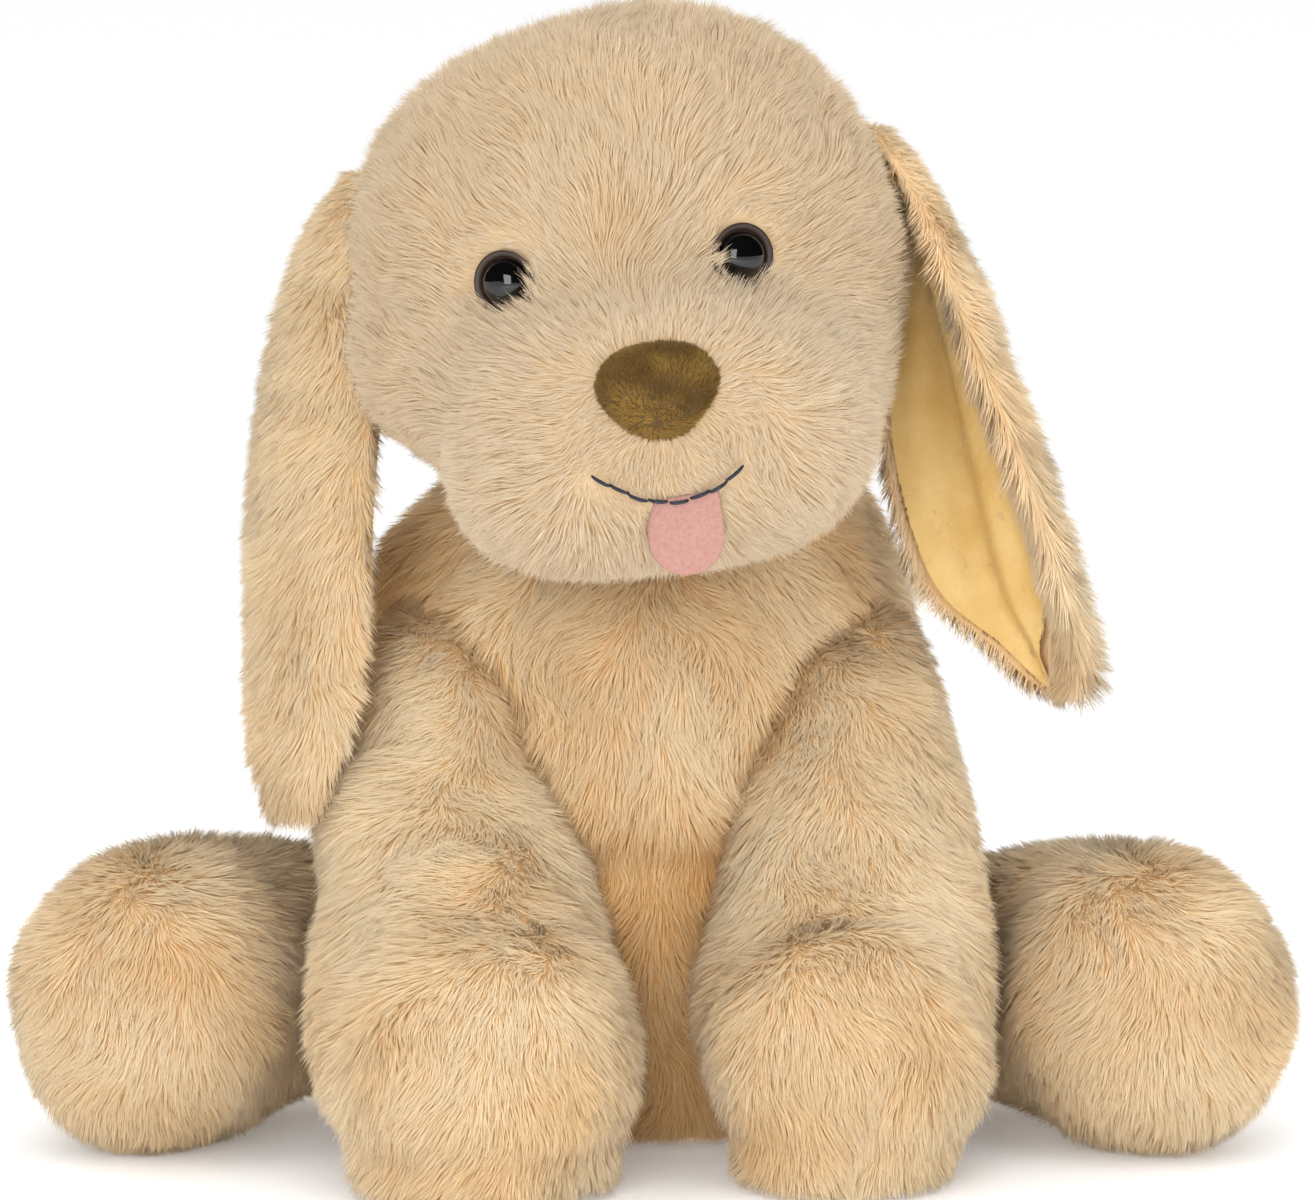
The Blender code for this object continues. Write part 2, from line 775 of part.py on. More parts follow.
def ear_sheet(name, side, inset, offset, thickness):
    """A curled sheet of cloth along the ear's stations, thickened on its outer face."""
    stations = EARS[side]
    across_steps = 4
    along_steps = 9
    verts, faces = [], []
    for along in range(along_steps + 1):
        t = along / along_steps * (len(stations) - 1)
        low = min(int(t), len(stations) - 2)
        share = t - low
        x, y, z, half, turn = (
            first + (second - first) * share for first, second in zip(stations[low], stations[low + 1])
        )
        heading = math.radians(turn)
        width_axis = Vector((math.cos(heading), math.sin(heading), 0))
        inner = Vector((-math.sin(heading), math.cos(heading), 0)) * lining_sense(side)
        reach = half - inset
        for step in range(across_steps + 1):
            bend = EAR_CURL * (2.0 * step / across_steps - 1.0)
            radius = half / EAR_CURL
            bend *= reach / half
            arm = width_axis * math.sin(bend) - inner * math.cos(bend)
            place = Vector((x, y, z)) + inner * radius + arm * (radius - offset)
            verts.append(place * MM)
    row = across_steps + 1
    for along in range(along_steps):
        for step in range(across_steps):
            corner = along * row + step
            faces.append((corner, corner + 1, corner + row + 1, corner + row))
    mesh = bpy.data.meshes.new(name)
    mesh.from_pydata(verts, [], faces)
    obj = add_object(name, mesh)
    wall = obj.modifiers.new("cloth", "SOLIDIFY")
    wall.thickness = thickness * MM
    wall.offset = 0.0
    return obj


def lining_sense(side):
    """Which way the lining looks: both ears show it toward the head and forward or back."""
    return -1 if side == "left" else 1


def make_ear(side):
    middle = EAR_FUR_THICKNESS / 2 + EAR_LINING_THICKNESS / 2 + EAR_LAYER_GAP
    outer = ear_sheet(f"ear_{side}_fur", side, 0, 0, EAR_FUR_THICKNESS)
    lining = ear_sheet(f"ear_{side}_lining", side, 2.5, middle, EAR_LINING_THICKNESS)
    head_room = as_cutter(skull(f"ear_{side}_head_room", grow=SEW_GAP))
    cut(outer, head_room)
    cut(lining, head_room)
    finish(outer, FUR)
    finish(lining, SATIN, 0.45)
    root = Vector(EARS[side][0][:3])
    hang_on(joint_empty(f"ear_{side}_joint", root), outer, lining)


# ---------------------------------------------------------------- torso and neck


def make_torso():
    """The body cover, open at every sewn joint, over its fibre and the seat's bean bag."""
    cutters = []
    for side in ("left", "right"):
        arm_sections = ARMS[side]
        cutters += turned_copies(
            f"arm_{side}_room",
            lambda name, sections=arm_sections: room_for(name, sections),
            on_side(SHOULDER, side),
            arm_axis(side),
            (0, ARM_LIFT),
        )
        leg_sections = mirrored(LEG_SECTIONS, LEG_REACH[side] * side_sign(side))
        cutters += turned_copies(
            f"leg_{side}_room",
            lambda name, sections=leg_sections: room_for(name, sections),
            on_side(HIP, side),
            leg_axis(side),
            (0, LEG_SWING),
        )
    cutters += turned_copies("skull_room", skull_room, NECK_PIVOT, Vector((1, 0, 0)), NOD_RANGE)
    cutters += turned_copies(
        "tail_room",
        lambda name: room_for(name, TAIL),
        TAIL_ROOT,
        Vector((0, 0, 1)),
        (-TAIL_SWING, TAIL_SWING),
    )
    sockets = {"neck": (NECK_PIVOT, NECK_RADIUS + 1.5), "tail": (TAIL_ROOT, TAIL_RADIUS)}
    for side in ("left", "right"):
        sockets[f"shoulder_{side}"] = (on_side(SHOULDER, side), SHOULDER_RADIUS)
        sockets[f"hip_{side}"] = (on_side(HIP, side), HIP_RADIUS)
    for place, (centre, radius) in sockets.items():
        cutters.append(as_cutter(ball(f"{place}_socket", centre, [radius] * 3, segments=16, rings=10)))

    cover = cut(hollow(loft("torso_cover", TORSO, level=True)), *cutters)
    finish(cover, FUR)

    filling = cut(wad("torso_stuffing", TORSO[3:-2], level=True), *cutters)
    finish(filling, FIBRE)
    bag = ball("seat_bean_bag", SEAT_BAG, SEAT_BAG_RADII, segments=16, rings=8)
    finish(bag, LINEN)
    return cover


def make_neck():
    neck = ball("neck_stuffing", NECK_PIVOT, [NECK_RADIUS] * 3, segments=16, rings=10)
    finish(neck, FIBRE)
    hang_on(joint_empty("neck_joint", NECK_PIVOT), neck)


def back_point(cover, x, z, proud):
    """The back of the torso at x and z, found by looking along -y at the finished cover."""
    graph = bpy.context.evaluated_depsgraph_get()
    graph.update()
    evaluated = cover.evaluated_get(graph)
    behind = Vector((x, 200, z)) * MM
    _, place, normal, _ = evaluated.ray_cast(behind, Vector((0, -1, 0)))
    return place / MM + normal * proud, normal


def make_back_trim(cover):
    """The closing seam's ladder stitches, and the blank care label beside it."""
    low, high = SEAM_HEIGHTS
    heights = [low + (high - low) * step / 6 for step in range(7)]
    points = [back_point(cover, 0, height, SEAM_THREAD)[0] for height in heights]
    finish(thread_curve("closing_seam_thread", points, SEAM_THREAD), THREAD_FUR)

    place, normal = back_point(cover, *LABEL_PLACE, 1.6)
    label = box("care_label", place, LABEL_SIZE)
    label.rotation_euler = (-normal).to_track_quat("Y", "Z").to_euler()
    finish(label, LABEL_WHITE, 0.5)


for arm_side in ("left", "right"):
    make_arm(arm_side)
    make_leg(arm_side)
    make_ear(arm_side)
make_tail()
make_head()
make_neck()
make_back_trim(make_torso())
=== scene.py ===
"""Looks of a seated plush dog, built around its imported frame.

The long pile is real geometry. Every strand is a slim three-sided spike that grows out of a skin,
leans with the lie of the pile there, and is drawn together with its neighbours into a tuft.
Lengths are in millimetres and angles in degrees until a mesh is made, unless a name says otherwise.
"""

import copy
import math

import bmesh
import bpy
import numpy as np
from mathutils import Matrix, Vector
from mathutils.bvhtree import BVHTree


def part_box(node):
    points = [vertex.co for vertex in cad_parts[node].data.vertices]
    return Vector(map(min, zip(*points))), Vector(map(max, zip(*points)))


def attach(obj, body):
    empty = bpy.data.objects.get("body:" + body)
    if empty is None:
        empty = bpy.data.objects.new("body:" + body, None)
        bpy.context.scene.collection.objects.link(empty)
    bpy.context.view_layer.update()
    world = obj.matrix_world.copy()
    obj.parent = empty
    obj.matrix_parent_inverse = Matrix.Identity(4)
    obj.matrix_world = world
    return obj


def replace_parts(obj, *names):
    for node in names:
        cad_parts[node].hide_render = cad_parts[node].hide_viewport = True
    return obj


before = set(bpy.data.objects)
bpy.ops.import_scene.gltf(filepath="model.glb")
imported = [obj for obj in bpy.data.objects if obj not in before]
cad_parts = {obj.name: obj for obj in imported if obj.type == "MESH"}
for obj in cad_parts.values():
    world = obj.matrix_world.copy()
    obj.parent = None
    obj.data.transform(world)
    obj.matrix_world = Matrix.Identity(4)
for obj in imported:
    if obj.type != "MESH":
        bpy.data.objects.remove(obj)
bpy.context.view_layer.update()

MM = 0.001
SIDES = 8  # corners of a cover's section before it is smoothed
SEED = 7
SIGN = {"left": 1, "right": -1}  # which way along X each side of the dog lies
TURN = {"left": 0, "right": 1}  # added to a seed, so that the two sides differ

# The sections of the sewn covers: x, y, z, half width, half depth
TORSO = (
    (0, 10, 0, 36, 34),
    (0, 10, 0, 57, 53),
    (0, 10, 9, 73, 68),
    (0, 8, 40, 80, 74),
    (0, 6, 75, 79, 72),
    (0, 4, 108, 76, 69),
    (0, 4, 140, 74, 60),
    (0, 6, 168, 62, 45),
    (0, 8, 184, 43, 31),
    (0, 9, 194, 0, 0),
)
ARMS = {
    "left": (
        (56, -10, 143, 0, 0),
        (56, -14, 136, 15, 16),
        (55, -20, 122, 25, 27),
        (55, -30, 102, 29.5, 32),
        (54.5, -42, 84, 33, 34),
        (54, -56, 64, 35, 35),
        (53.5, -70, 43, 36.5, 40),
        (52.5, -86, 33, 37.7, 42),
        (52.5, -104, 31, 34.5, 40),
        (52.5, -118, 31, 24, 29),
        (52.5, -124, 31, 0, 0),
    ),
    "right": (
        (-56, -10, 143, 0, 0),
        (-56, -14, 136, 15, 16),
        (-56, -20, 122, 25, 27),
        (-55, -31, 102, 30, 32),
        (-53, -44, 84, 33.5, 34),
        (-50, -60, 64, 36.5, 35.5),
        (-46, -78, 43, 39.5, 41),
        (-41.8, -100, 33, 42, 42),
        (-41.5, -120, 31, 38, 40),
        (-41.5, -135, 31, 26, 30),
        (-41.5, -141, 31, 0, 0),
    ),
}
HIP_X = 68
LEG_REACH = {"left": 136.4, "right": 132.0}
LEG_SECTIONS = (
    (50, 22, 39, 0, 0),
    (56, 19, 39, 14, 14),
    (68, 13, 39, 24, 25),
    (88, 4, 39, 27, 29),
    (108, -8, 39.5, 30, 33),
    (124, -24, 40, 33.5, 36.5),
    (133, -42, 40, 36, 38.5),
    (136, -58, 40, 36, 38.5),
    (136, -71, 40, 30, 32),
    (136, -80, 40, 17, 18),
    (136, -83, 40, 0, 0),
)
FOOT_SECTION = 7
PAW_SECTION = 7
PAW_FLARE = 3.5  # how far the sole of a paw stands out beyond the paw above it
PAW_WAIST = 1.5  # how far the seam above the sole draws the paw in
ARM_RELAX = (90, 0.6)  # rounds and strength that take the kinks out of an arm
ARM_REFILL = 1.0  # what an arm loses in girth by that
TAIL = (
    (0, 70, 49, 0, 0),
    (0, 73, 48, 8, 8),
    (0, 82, 44, 13.5, 13.5),
    (0, 98, 36, 13.5, 13.5),
    (0, 112, 28, 12.5, 12),
    (0, 124, 21, 8.5, 8),
    (0, 130, 17, 0, 0),
)
# x, y, z of the middle, half width and turn of each station of an ear, from root to tip
EARS = {
    "left": (
        (60, -26, 274, 10, -72),
        (72, -28, 258, 17, -72),
        (83, -31, 230, 23, -68),
        (91, -30, 190, 30, -50),
        (100, -30, 152, 27, -38),
        (108, -29, 134, 15, -30),
        (113, -28, 121, 6, -26),
    ),
    "right": (
        (-75, -26, 262, 11, -62),
        (-85, -30, 244, 20, -58),
        (-92, -35, 214, 26, -56),
        (-97, -40, 178, 28, -56),
        (-98, -45, 142, 28, -58),
        (-98, -51, 112, 21, -56),
        (-96, -53, 92, 9, -56),
    ),
}
EAR_CURL = 0.9
LINING_SENSE = {"left": -1, "right": 1}

HEAD_CORE = np.array((-1.0, -62.0, 220.0))  # a point inside every form of the head
HEAD_ROLL = np.array(Matrix.Rotation(math.radians(-6.6), 3, "Y"))
# The forms that the head's cloth runs over: centre, radii and squareness
HEAD_FORMS = (
    ((-5, -38, 240), (71, 62, 63), 2.0),
    ((3, -88, 198), (53, 43, 34), 2.6),
    ((-43, -56, 214), (29, 36, 22), 2.0),
    ((33, -58, 212), (27, 34, 22), 2.0),
)
FORM_BLEND = 14.0  # how far two forms run into each other
EYES = {"left": (24.6, 243.6), "right": (-35.2, 236.7)}
EYE_RADIUS = 7.0
RING_RADIUS = 8.6
EYE_SEAT = 9.5  # the radius of the cloth that each eye presses flat
NOSE = (3.6, 212.0)
NOSE_HALF = (15.5, 12.0)
MOUTH = ((-13.1, 190.4), (-5.5, 186.4), (2.8, 183.8), (11.5, 184.4), (19.5, 188.0), (26.4, 193.7))
MOUTH_PROUD = 3.4  # how far the stitches stand off the cloth, in the pile

TORSO_AXIS_Y = 8
TORSO_FRONT = (-20, -60)  # between these y the torso turns from side to front
# How high each form of the front lies, how tall it is and how far back it moves the cloth
CREASE = (82, 5.5, 5.0)
BELLY = (55, 26, 4.0)
CHEST = (112, 20, -2.5)

# The lie of the pile
FLOOR_CLEAR = 0.4
STUFFING_GAP = 1.0
PILE = 11.0
HEAD_PILE = 9.5
LIMB_PILE = 9.5
STRANDS_PER_PIECE = 60000
LEAN_RANGE = (12, 84)
# How much painted shade darkens the pile in the creases where two parts meet
PAINTED_CREASE_SHADE = 0.50
NEAR = 12.0  # painted shade: the pile is darkened toward its warm colours where another part is nearer than this
FACE_EDGE_Y = -62.0  # the face's pile lies in front of this, the rest of the head's behind it
# How far a strand's shading follows the skin below it, its own faces and, at its tip, its axis
SKIN_SHADE, FACE_SHADE, TIP_SHADE = 0.50, 0.42, 0.12


# -------------------- numbers


def unit(vectors):
    length = np.linalg.norm(vectors, axis=-1, keepdims=True)
    return vectors / np.maximum(length, 1e-9)


def smooth_step(low, high, values):
    share = np.clip((values - low) / (high - low), 0.0, 1.0)
    return share * share * (3.0 - 2.0 * share)


def hump(values, middle, width):
    """A smooth hump of height 1 at the middle."""
    return np.exp(-(((values - middle) / width) ** 2))


def squared_off(points, power):
    """The points of a ball, moved toward the corners of its box."""
    return np.sign(points) * np.abs(points) ** power


def along_curve(before, start, end, after, t):
    """A point at t on a smooth curve from start to end, between their neighbours."""
    return 0.5 * (
        start * 2
        + (end - before) * t
        + (before * 2 - start * 5 + end * 4 - after) * t * t
        + (start * 3 - before - end * 3 + after) * t**3
    )


class Waves:
    """Smooth noise of mean 0 and spread about 1: sine waves in random directions."""

    def __init__(self, seed, scale, count=14):
        rng = np.random.default_rng(seed)
        directions = unit(rng.normal(size=(count, 3)))
        self.waves = directions * (math.tau / scale) * rng.uniform(0.6, 1.7, (count, 1))
        self.phases = rng.uniform(0, math.tau, count)
        self.level = math.sqrt(2.0 / count)

    def __call__(self, points):
        return np.sin(points @ self.waves.T + self.phases).sum(axis=1) * self.level


# -------------------- meshes


def new_object(name, mesh):
    obj = bpy.data.objects.new(name, mesh)
    bpy.context.scene.collection.objects.link(obj)
    return obj


def mesh_object(name, verts, faces):
    """A smooth-shaded object from points in millimetres."""
    mesh = bpy.data.meshes.new(name)
    mesh.from_pydata([tuple(vert) for vert in np.asarray(verts) * MM], [], faces)
    mesh.shade_smooth()
    return new_object(name, mesh)


def ball(name, subdivisions):
    """A unit ball about the origin, to be shaped by moving its points."""
    bpy.ops.mesh.primitive_ico_sphere_add(subdivisions=subdivisions, radius=1.0)
    obj = bpy.context.object
    obj.name = name
    obj.data.shade_smooth()
    return obj


def settle(obj):
    """Apply an object's modifiers."""
    graph = bpy.context.evaluated_depsgraph_get()
    mesh = bpy.data.meshes.new_from_object(obj.evaluated_get(graph))
    obj.modifiers.clear()
    obj.data = mesh
    mesh.shade_smooth()
    return obj


def subdivide(obj, levels):
    surface = obj.modifiers.new("surface", "SUBSURF")
    surface.levels = levels
    surface.render_levels = levels
    return settle(obj)


def relax(obj, rounds, factor=0.5):
    smooth = obj.modifiers.new("relax", "SMOOTH")
    smooth.iterations = rounds
    smooth.factor = factor
    return settle(obj)


def read_vectors(obj, trait):
    values = np.empty(len(obj.data.vertices) * 3)
    obj.data.vertices.foreach_get(trait, values)
    return values.reshape(-1, 3)


def read_points(obj):
    return read_vectors(obj, "co") / MM


def read_normals(obj):
    return read_vectors(obj, "normal")


def read_triangles(obj):
    mesh = obj.data
    mesh.calc_loop_triangles()
    triangles = np.empty(len(mesh.loop_triangles) * 3, dtype=np.int32)
    mesh.loop_triangles.foreach_get("vertices", triangles)
    return triangles.reshape(-1, 3)


def write_points(obj, points):
    obj.data.vertices.foreach_set("co", (points * MM).ravel())
    obj.data.update()


def loft(name, sections, level=False, levels=3):
    """The sewn cover's outer surface: elliptical sections along a spine, smoothed."""
    swell = 3.0 / (2.0 + math.cos(math.tau / SIDES))
    centres = [Vector(section[:3]) for section in sections]
    last = len(sections) - 1
    rows = []
    for index, (*_, half_width, half_height) in enumerate(sections):
        centre = centres[index]
        along = (centres[min(index + 1, last)] - centres[max(index - 1, 0)]).normalized()
        if half_width == 0:
            rows.append([centre])
            continue
        if level:
            along = Vector((0, 0, 1))
        across = along.cross(Vector((0, 1, 0)) if level else Vector((0, 0, 1)))
        if across.length < 0.3:
            across = Vector((1, 0, 0))
        across.normalize()
        rise = across.cross(along).normalized()
        row = []
        for corner in range(SIDES):
            angle = math.tau * corner / SIDES
            side = across * math.cos(angle) * half_width * swell
            row.append(centre + side + rise * math.sin(angle) * half_height * swell)
        rows.append(row)
    return subdivide(shell(name, rows), levels)


def shell(name, rows, closed=False):
    """A surface over rows of points, each a ring of corners or a pole, with caps on open ends."""
    verts, rings, faces = [], [], []
    for row in rows:
        rings.append(tuple(range(len(verts), len(verts) + len(row))))
        verts.extend(row)
    if closed:
        rings.append(rings[0])
    sides = max(len(ring) for ring in rings)
    for ring, following in zip(rings, rings[1:]):
        for near in range(sides):
            far = (near + 1) % sides
            if len(ring) == 1:
                faces.append((ring[0], following[near], following[far]))
            elif len(following) == 1:
                faces.append((ring[near], following[0], ring[far]))
            else:
                faces.append((ring[near], following[near], following[far], ring[far]))
    for end in (rings[0], rings[-1]):
        if len(end) > 1 and not closed:
            faces.append(end)
    return outward(mesh_object(name, verts, faces))


def outward(obj):
    """Turn the faces of a closed surface so that they all look out."""
    work = bmesh.new()
    work.from_mesh(obj.data)
    bmesh.ops.recalc_face_normals(work, faces=work.faces)
    if work.calc_volume(signed=True) < 0:
        bmesh.ops.reverse_faces(work, faces=work.faces)
    work.to_mesh(obj.data)
    work.free()
    return obj


def obstacle(obj):
    """A search tree of a skin, with the corners of its box."""
    points = read_points(obj)
    tree = BVHTree.FromPolygons(points.tolist(), read_triangles(obj).tolist())
    return tree, points.min(axis=0), points.max(axis=0)


# -------------------- skins


def lumps(obj, seed, scale, height):
    """Let the filling push the cloth out and in, as loose fibre does."""
    points = read_points(obj)
    points += read_normals(obj) * (Waves(seed, scale)(points) * height)[:, None]
    write_points(obj, points)
    return obj


def stand_on_floor(obj):
    points = read_points(obj)
    points[:, 2] = np.maximum(points[:, 2], FLOOR_CLEAR)
    write_points(obj, points)
    return obj


def arm_skin(side):
    """An arm without kinks, whose paw flares out to its sole."""
    skin = loft(f"arm_{side}_skin", ARMS[side])
    relax(skin, *ARM_RELAX)
    write_points(skin, read_points(skin) + read_normals(skin) * ARM_REFILL)
    lumps(skin, SEED + 1, scale=46, height=0.9)
    points = read_points(skin)
    paw = np.array(ARMS[side][PAW_SECTION][:2])
    away = unit(points[:, :2] - paw)
    points[:, :2] += away * (PAW_FLARE * smooth_step(15, 3, points[:, 2]))[:, None]
    points[:, :2] -= away * (PAW_WAIST * hump(points[:, 2], 18, 5))[:, None]
    write_points(skin, points)
    return stand_on_floor(skin)


def leg_sections(side):
    stretch = (LEG_REACH[side] - HIP_X) / (LEG_SECTIONS[-1][0] - HIP_X)
    made = []
    for x, y, z, half_width, half_height in LEG_SECTIONS:
        beyond = x if x <= HIP_X else HIP_X + (x - HIP_X) * stretch
        made.append((beyond * SIGN[side], y, z, half_width, half_height))
    return tuple(made)


def leg_skin(side):
    skin = loft(f"leg_{side}_skin", leg_sections(side))
    lumps(skin, SEED + 2, scale=50, height=1.0)
    return stand_on_floor(skin)


def head_field(points, forms):
    """Roughly how far points lie outside the head's cloth, negative inside it."""
    field = None
    for centre, radii, squareness in forms:
        local = np.abs((points - centre) @ HEAD_ROLL / radii)
        level = (local**squareness).sum(axis=-1) ** (1 / squareness)
        distance = (level - 1.0) * min(radii)
        if field is None:
            field = distance
            continue
        near = np.maximum(FORM_BLEND - np.abs(field - distance), 0.0) / FORM_BLEND
        field = np.minimum(field, distance) - near**2 * FORM_BLEND / 4
    return field


def head_reach(directions):
    """The distance from the head's core to its cloth along each direction."""
    low = np.zeros(len(directions))
    high = np.full(len(directions), 170.0)
    for _ in range(30):
        middle = (low + high) / 2
        inside = head_field(HEAD_CORE + directions * middle[:, None], HEAD_FORMS) < 0
        low = np.where(inside, middle, low)
        high = np.where(inside, high, middle)
    return low


def head_skin():
    skin = ball("head_skin", 6)
    directions = unit(read_points(skin))
    points = HEAD_CORE + directions * head_reach(directions)[:, None]
    write_points(skin, points)
    lumps(skin, SEED + 3, scale=55, height=0.8)
    points = read_points(skin)
    for side in EYES:
        points = seat_eye(points, side)
    write_points(skin, points)
    return relax(skin, 1)


def seat_eye(points, side):
    """Draw the cloth in round an eye, to the plane of its stem, as the washer behind it does."""
    place, normal = EYE_PLACES[side], EYE_NORMALS[side]
    offset = points - place
    height = offset @ normal
    spread = np.linalg.norm(offset - height[:, None] * normal, axis=1)
    lid = smooth_step(0, 6, offset @ EYE_BELOW[side])
    share = smooth_step(EYE_SEAT + 8 - 6 * lid, EYE_SEAT - 1.5 * lid, spread)
    share *= np.abs(height) < 25
    return points - normal * ((height + 0.7) * share)[:, None]


def face_point(x, z, proud=0.0, forms=HEAD_FORMS):
    """The cloth at x and z on the front of the head, searched along y from outside it."""
    low, high = -160.0, HEAD_CORE[1]
    for _ in range(40):
        middle = (low + high) / 2
        inside = head_field(np.array(((x, middle, z),)), forms)[0] < 0
        low, high = (low, middle) if inside else (middle, high)
    return np.array((x, low - proud, z))


def face_normal(x, z, forms, step=3.0):
    across = face_point(x + step, z, 0, forms) - face_point(x - step, z, 0, forms)
    rise = face_point(x, z + step, 0, forms) - face_point(x, z - step, 0, forms)
    return unit(np.cross(across, rise))


SKULL_ONLY = HEAD_FORMS[:1]
EYE_PLACES = {side: face_point(x, z, 0.6, SKULL_ONLY) for side, (x, z) in EYES.items()}
EYE_NORMALS = {side: face_normal(x, z, SKULL_ONLY) for side, (x, z) in EYES.items()}
EYE_BELOW = {"left": np.array((-0.52, 0.0, -0.86)), "right": np.array((0.52, 0.0, -0.86))}
NOSE_POINT = face_point(*NOSE, proud=6.0)
MOUTH_LINE = np.array([face_point(x, z, proud=1.0) for x, z in MOUTH])


def press_in(obj, axis_low, axis_high, obstacles, gap, least=6.0):
    """Push a skin toward the torso's axis wherever a neighbour lies in its way."""
    points = read_points(obj)
    for index, point in enumerate(points):
        core = Vector((0, TORSO_AXIS_Y, min(max(point[2], axis_low), axis_high)))
        offset = Vector(point) - core
        distance = offset.length
        direction = offset / distance
        reach = distance
        for tree, _, _ in obstacles:
            _, _, _, hit = tree.ray_cast(core, direction, distance + gap)
            if hit is not None:
                reach = min(reach, hit - gap)
        if reach < distance:
            points[index] = core + direction * max(reach, least)
    write_points(obj, points)


def between_arms(points):
    """1 on the strip of the torso that shows between the arms, 0 behind them."""
    return smooth_step(52, 18, np.abs(points[:, 0] - 3))


def torso_skin(limbs):
    """A torso with a crease over its belly, pressed in where the limbs lie on it."""
    skin = loft("torso_skin", TORSO, level=True)
    points = read_points(skin)
    front = smooth_step(*TORSO_FRONT, points[:, 1])
    middle = smooth_step(60, 20, np.abs(points[:, 0]))
    push = 0.0
    for form, across in ((CREASE, between_arms(points)), (BELLY, middle), (CHEST, middle)):
        height, spread, depth = form
        push += hump(points[:, 2], height, spread) * front * across * depth
    points[:, 1] += push
    write_points(skin, points)
    lumps(skin, SEED + 4, scale=60, height=1.2)
    press_in(skin, 40, 150, [obstacle(limb) for limb in limbs], gap=0.6)
    relax(skin, 3)
    clear_stuffing(skin, "torso_stuffing")
    return stand_on_floor(skin)


def clear_stuffing(skin, node):
    """Lift a skin off its stuffing wherever it came too near."""
    tree = obstacle(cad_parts[node])[0]
    points = read_points(skin)
    for index, point in enumerate(points):
        place, normal, _, _ = tree.find_nearest(Vector(point), STUFFING_GAP * 6)
        if place is not None:
            rise = (Vector(point) - place).dot(normal)
            points[index] += np.array(normal) * max(STUFFING_GAP - rise, 0.0)
    write_points(skin, points)


def ear_profile(side, share):
    """Station values at a share of the ear's length, on a smooth curve through the stations."""
    stations = np.array(EARS[side], dtype=float)
    place = share * (len(stations) - 1)
    index = min(int(place), len(stations) - 2)
    before = stations[max(index - 1, 0)]
    after = stations[min(index + 2, len(stations) - 1)]
    return along_curve(before, stations[index], stations[index + 1], after, place - index)


def ear_shell(name, side, thickness, offset=0.0, inset=0.0, front_inset=0.0, roll=0.0, ridge=0.0):
    """A closed, curled leaf of cloth along an ear: its front edge can swell, its middle can fold.

    The leaf lies that offset inward of the ear's sheet, and ends an inset short of its edges."""
    steps, sides = 64, 48
    rows = []
    for step in range(steps + 1):
        share = step / steps
        x, y, z, full, turn = ear_profile(side, share)
        round_end = math.sqrt(max(0.0, 1.0 - (max(share - 0.93, 0) / 0.07) ** 2))
        heading = math.radians(turn)
        across = np.array((math.cos(heading), math.sin(heading), 0.0))
        inner = np.array((-math.sin(heading), math.cos(heading), 0.0)) * LINING_SENSE[side]
        radius = full / EAR_CURL
        centre = np.array((x, y, z))
        if step in (0, steps):
            rows.append([centre + inner * offset])
            continue
        back = max(full - inset, 1.0) * round_end
        front = max(full - front_inset * smooth_step(0.08, 0.45, share), 1.0) * round_end
        along = math.sin(share * math.pi) ** 0.5
        row = []
        for corner in range(sides):
            angle = math.tau * corner / sides
            reach = (front - back) / 2 + math.cos(angle) * (front + back) / 2
            level = math.copysign(abs(math.sin(angle)) ** 0.6, math.sin(angle)) * thickness / 2
            if level < 0:
                level *= 1.0 + roll * math.exp(-(((reach / full - 0.75) / 0.35) ** 2))
            fold = ridge * math.exp(-(((reach / full - 0.12) / 0.20) ** 2)) * along
            fold += 0.12 * ridge * math.sin(reach * 0.45 + share * 9) * along
            bend = reach / radius
            arm = across * math.sin(bend) - inner * math.cos(bend)
            row.append(centre + inner * radius + arm * (radius - offset - level - fold))
        rows.append(row)
    return shell(name, rows)


# -------------------- strands


class Pile:
    """How the strands of one skin grow: sown at random, one value of each trait a strand."""

    def __init__(self, skin, density, seed, length=PILE, lean=58.0, flow=(0.0, 0.0, -1.0)):
        points, normals, triangles = read_points(skin), read_normals(skin), read_triangles(skin)
        a, b, c = (points[triangles[:, corner]] for corner in range(3))
        areas = np.linalg.norm(np.cross(b - a, c - a), axis=1) / 2
        self.rng = np.random.default_rng(seed)
        count = int(areas.sum() * density)
        chosen = self.rng.choice(len(areas), count, p=areas / areas.sum())
        u, v = self.rng.random((2, count))
        over = u + v > 1
        u[over], v[over] = 1 - u[over], 1 - v[over]
        shares = np.stack((1 - u - v, u, v), axis=1)
        corners = triangles[chosen]
        self.roots = (points[corners] * shares[..., None]).sum(axis=1)
        self.normals = unit((normals[corners] * shares[..., None]).sum(axis=1))
        self.length = np.full(count, length)
        self.lean = np.full(count, lean)
        self.tone = np.full(count, 0.5)
        self.flow = np.tile(flow, (count, 1))
        self.gap = np.full(count, NEAR)
        self.seed = seed

    def picked(self, wanted):
        """The same pile with only some of its strands."""
        part = copy.copy(self)
        for trait in ("roots", "normals", "length", "lean", "tone", "flow", "gap"):
            setattr(part, trait, getattr(self, trait)[wanted])
        return part

    def clear_of(self, obstacles, depth):
        """The same pile without the strands that start deeper than that inside another skin.

        The rest remember how far off their nearest neighbour is."""
        wanted = np.ones(len(self.roots), dtype=bool)
        for tree, low, high in obstacles:
            near = ((self.roots > low - NEAR) & (self.roots < high + NEAR)).all(axis=1) & wanted
            for index in np.flatnonzero(near):
                root = Vector(self.roots[index])
                place, normal, _, distance = tree.find_nearest(root)
                inside = (root - place).dot(normal) < 0
                if inside and distance > depth:
                    wanted[index] = False
                else:
                    self.gap[index] = min(self.gap[index], 0.0 if inside else distance)
        return self.picked(wanted)


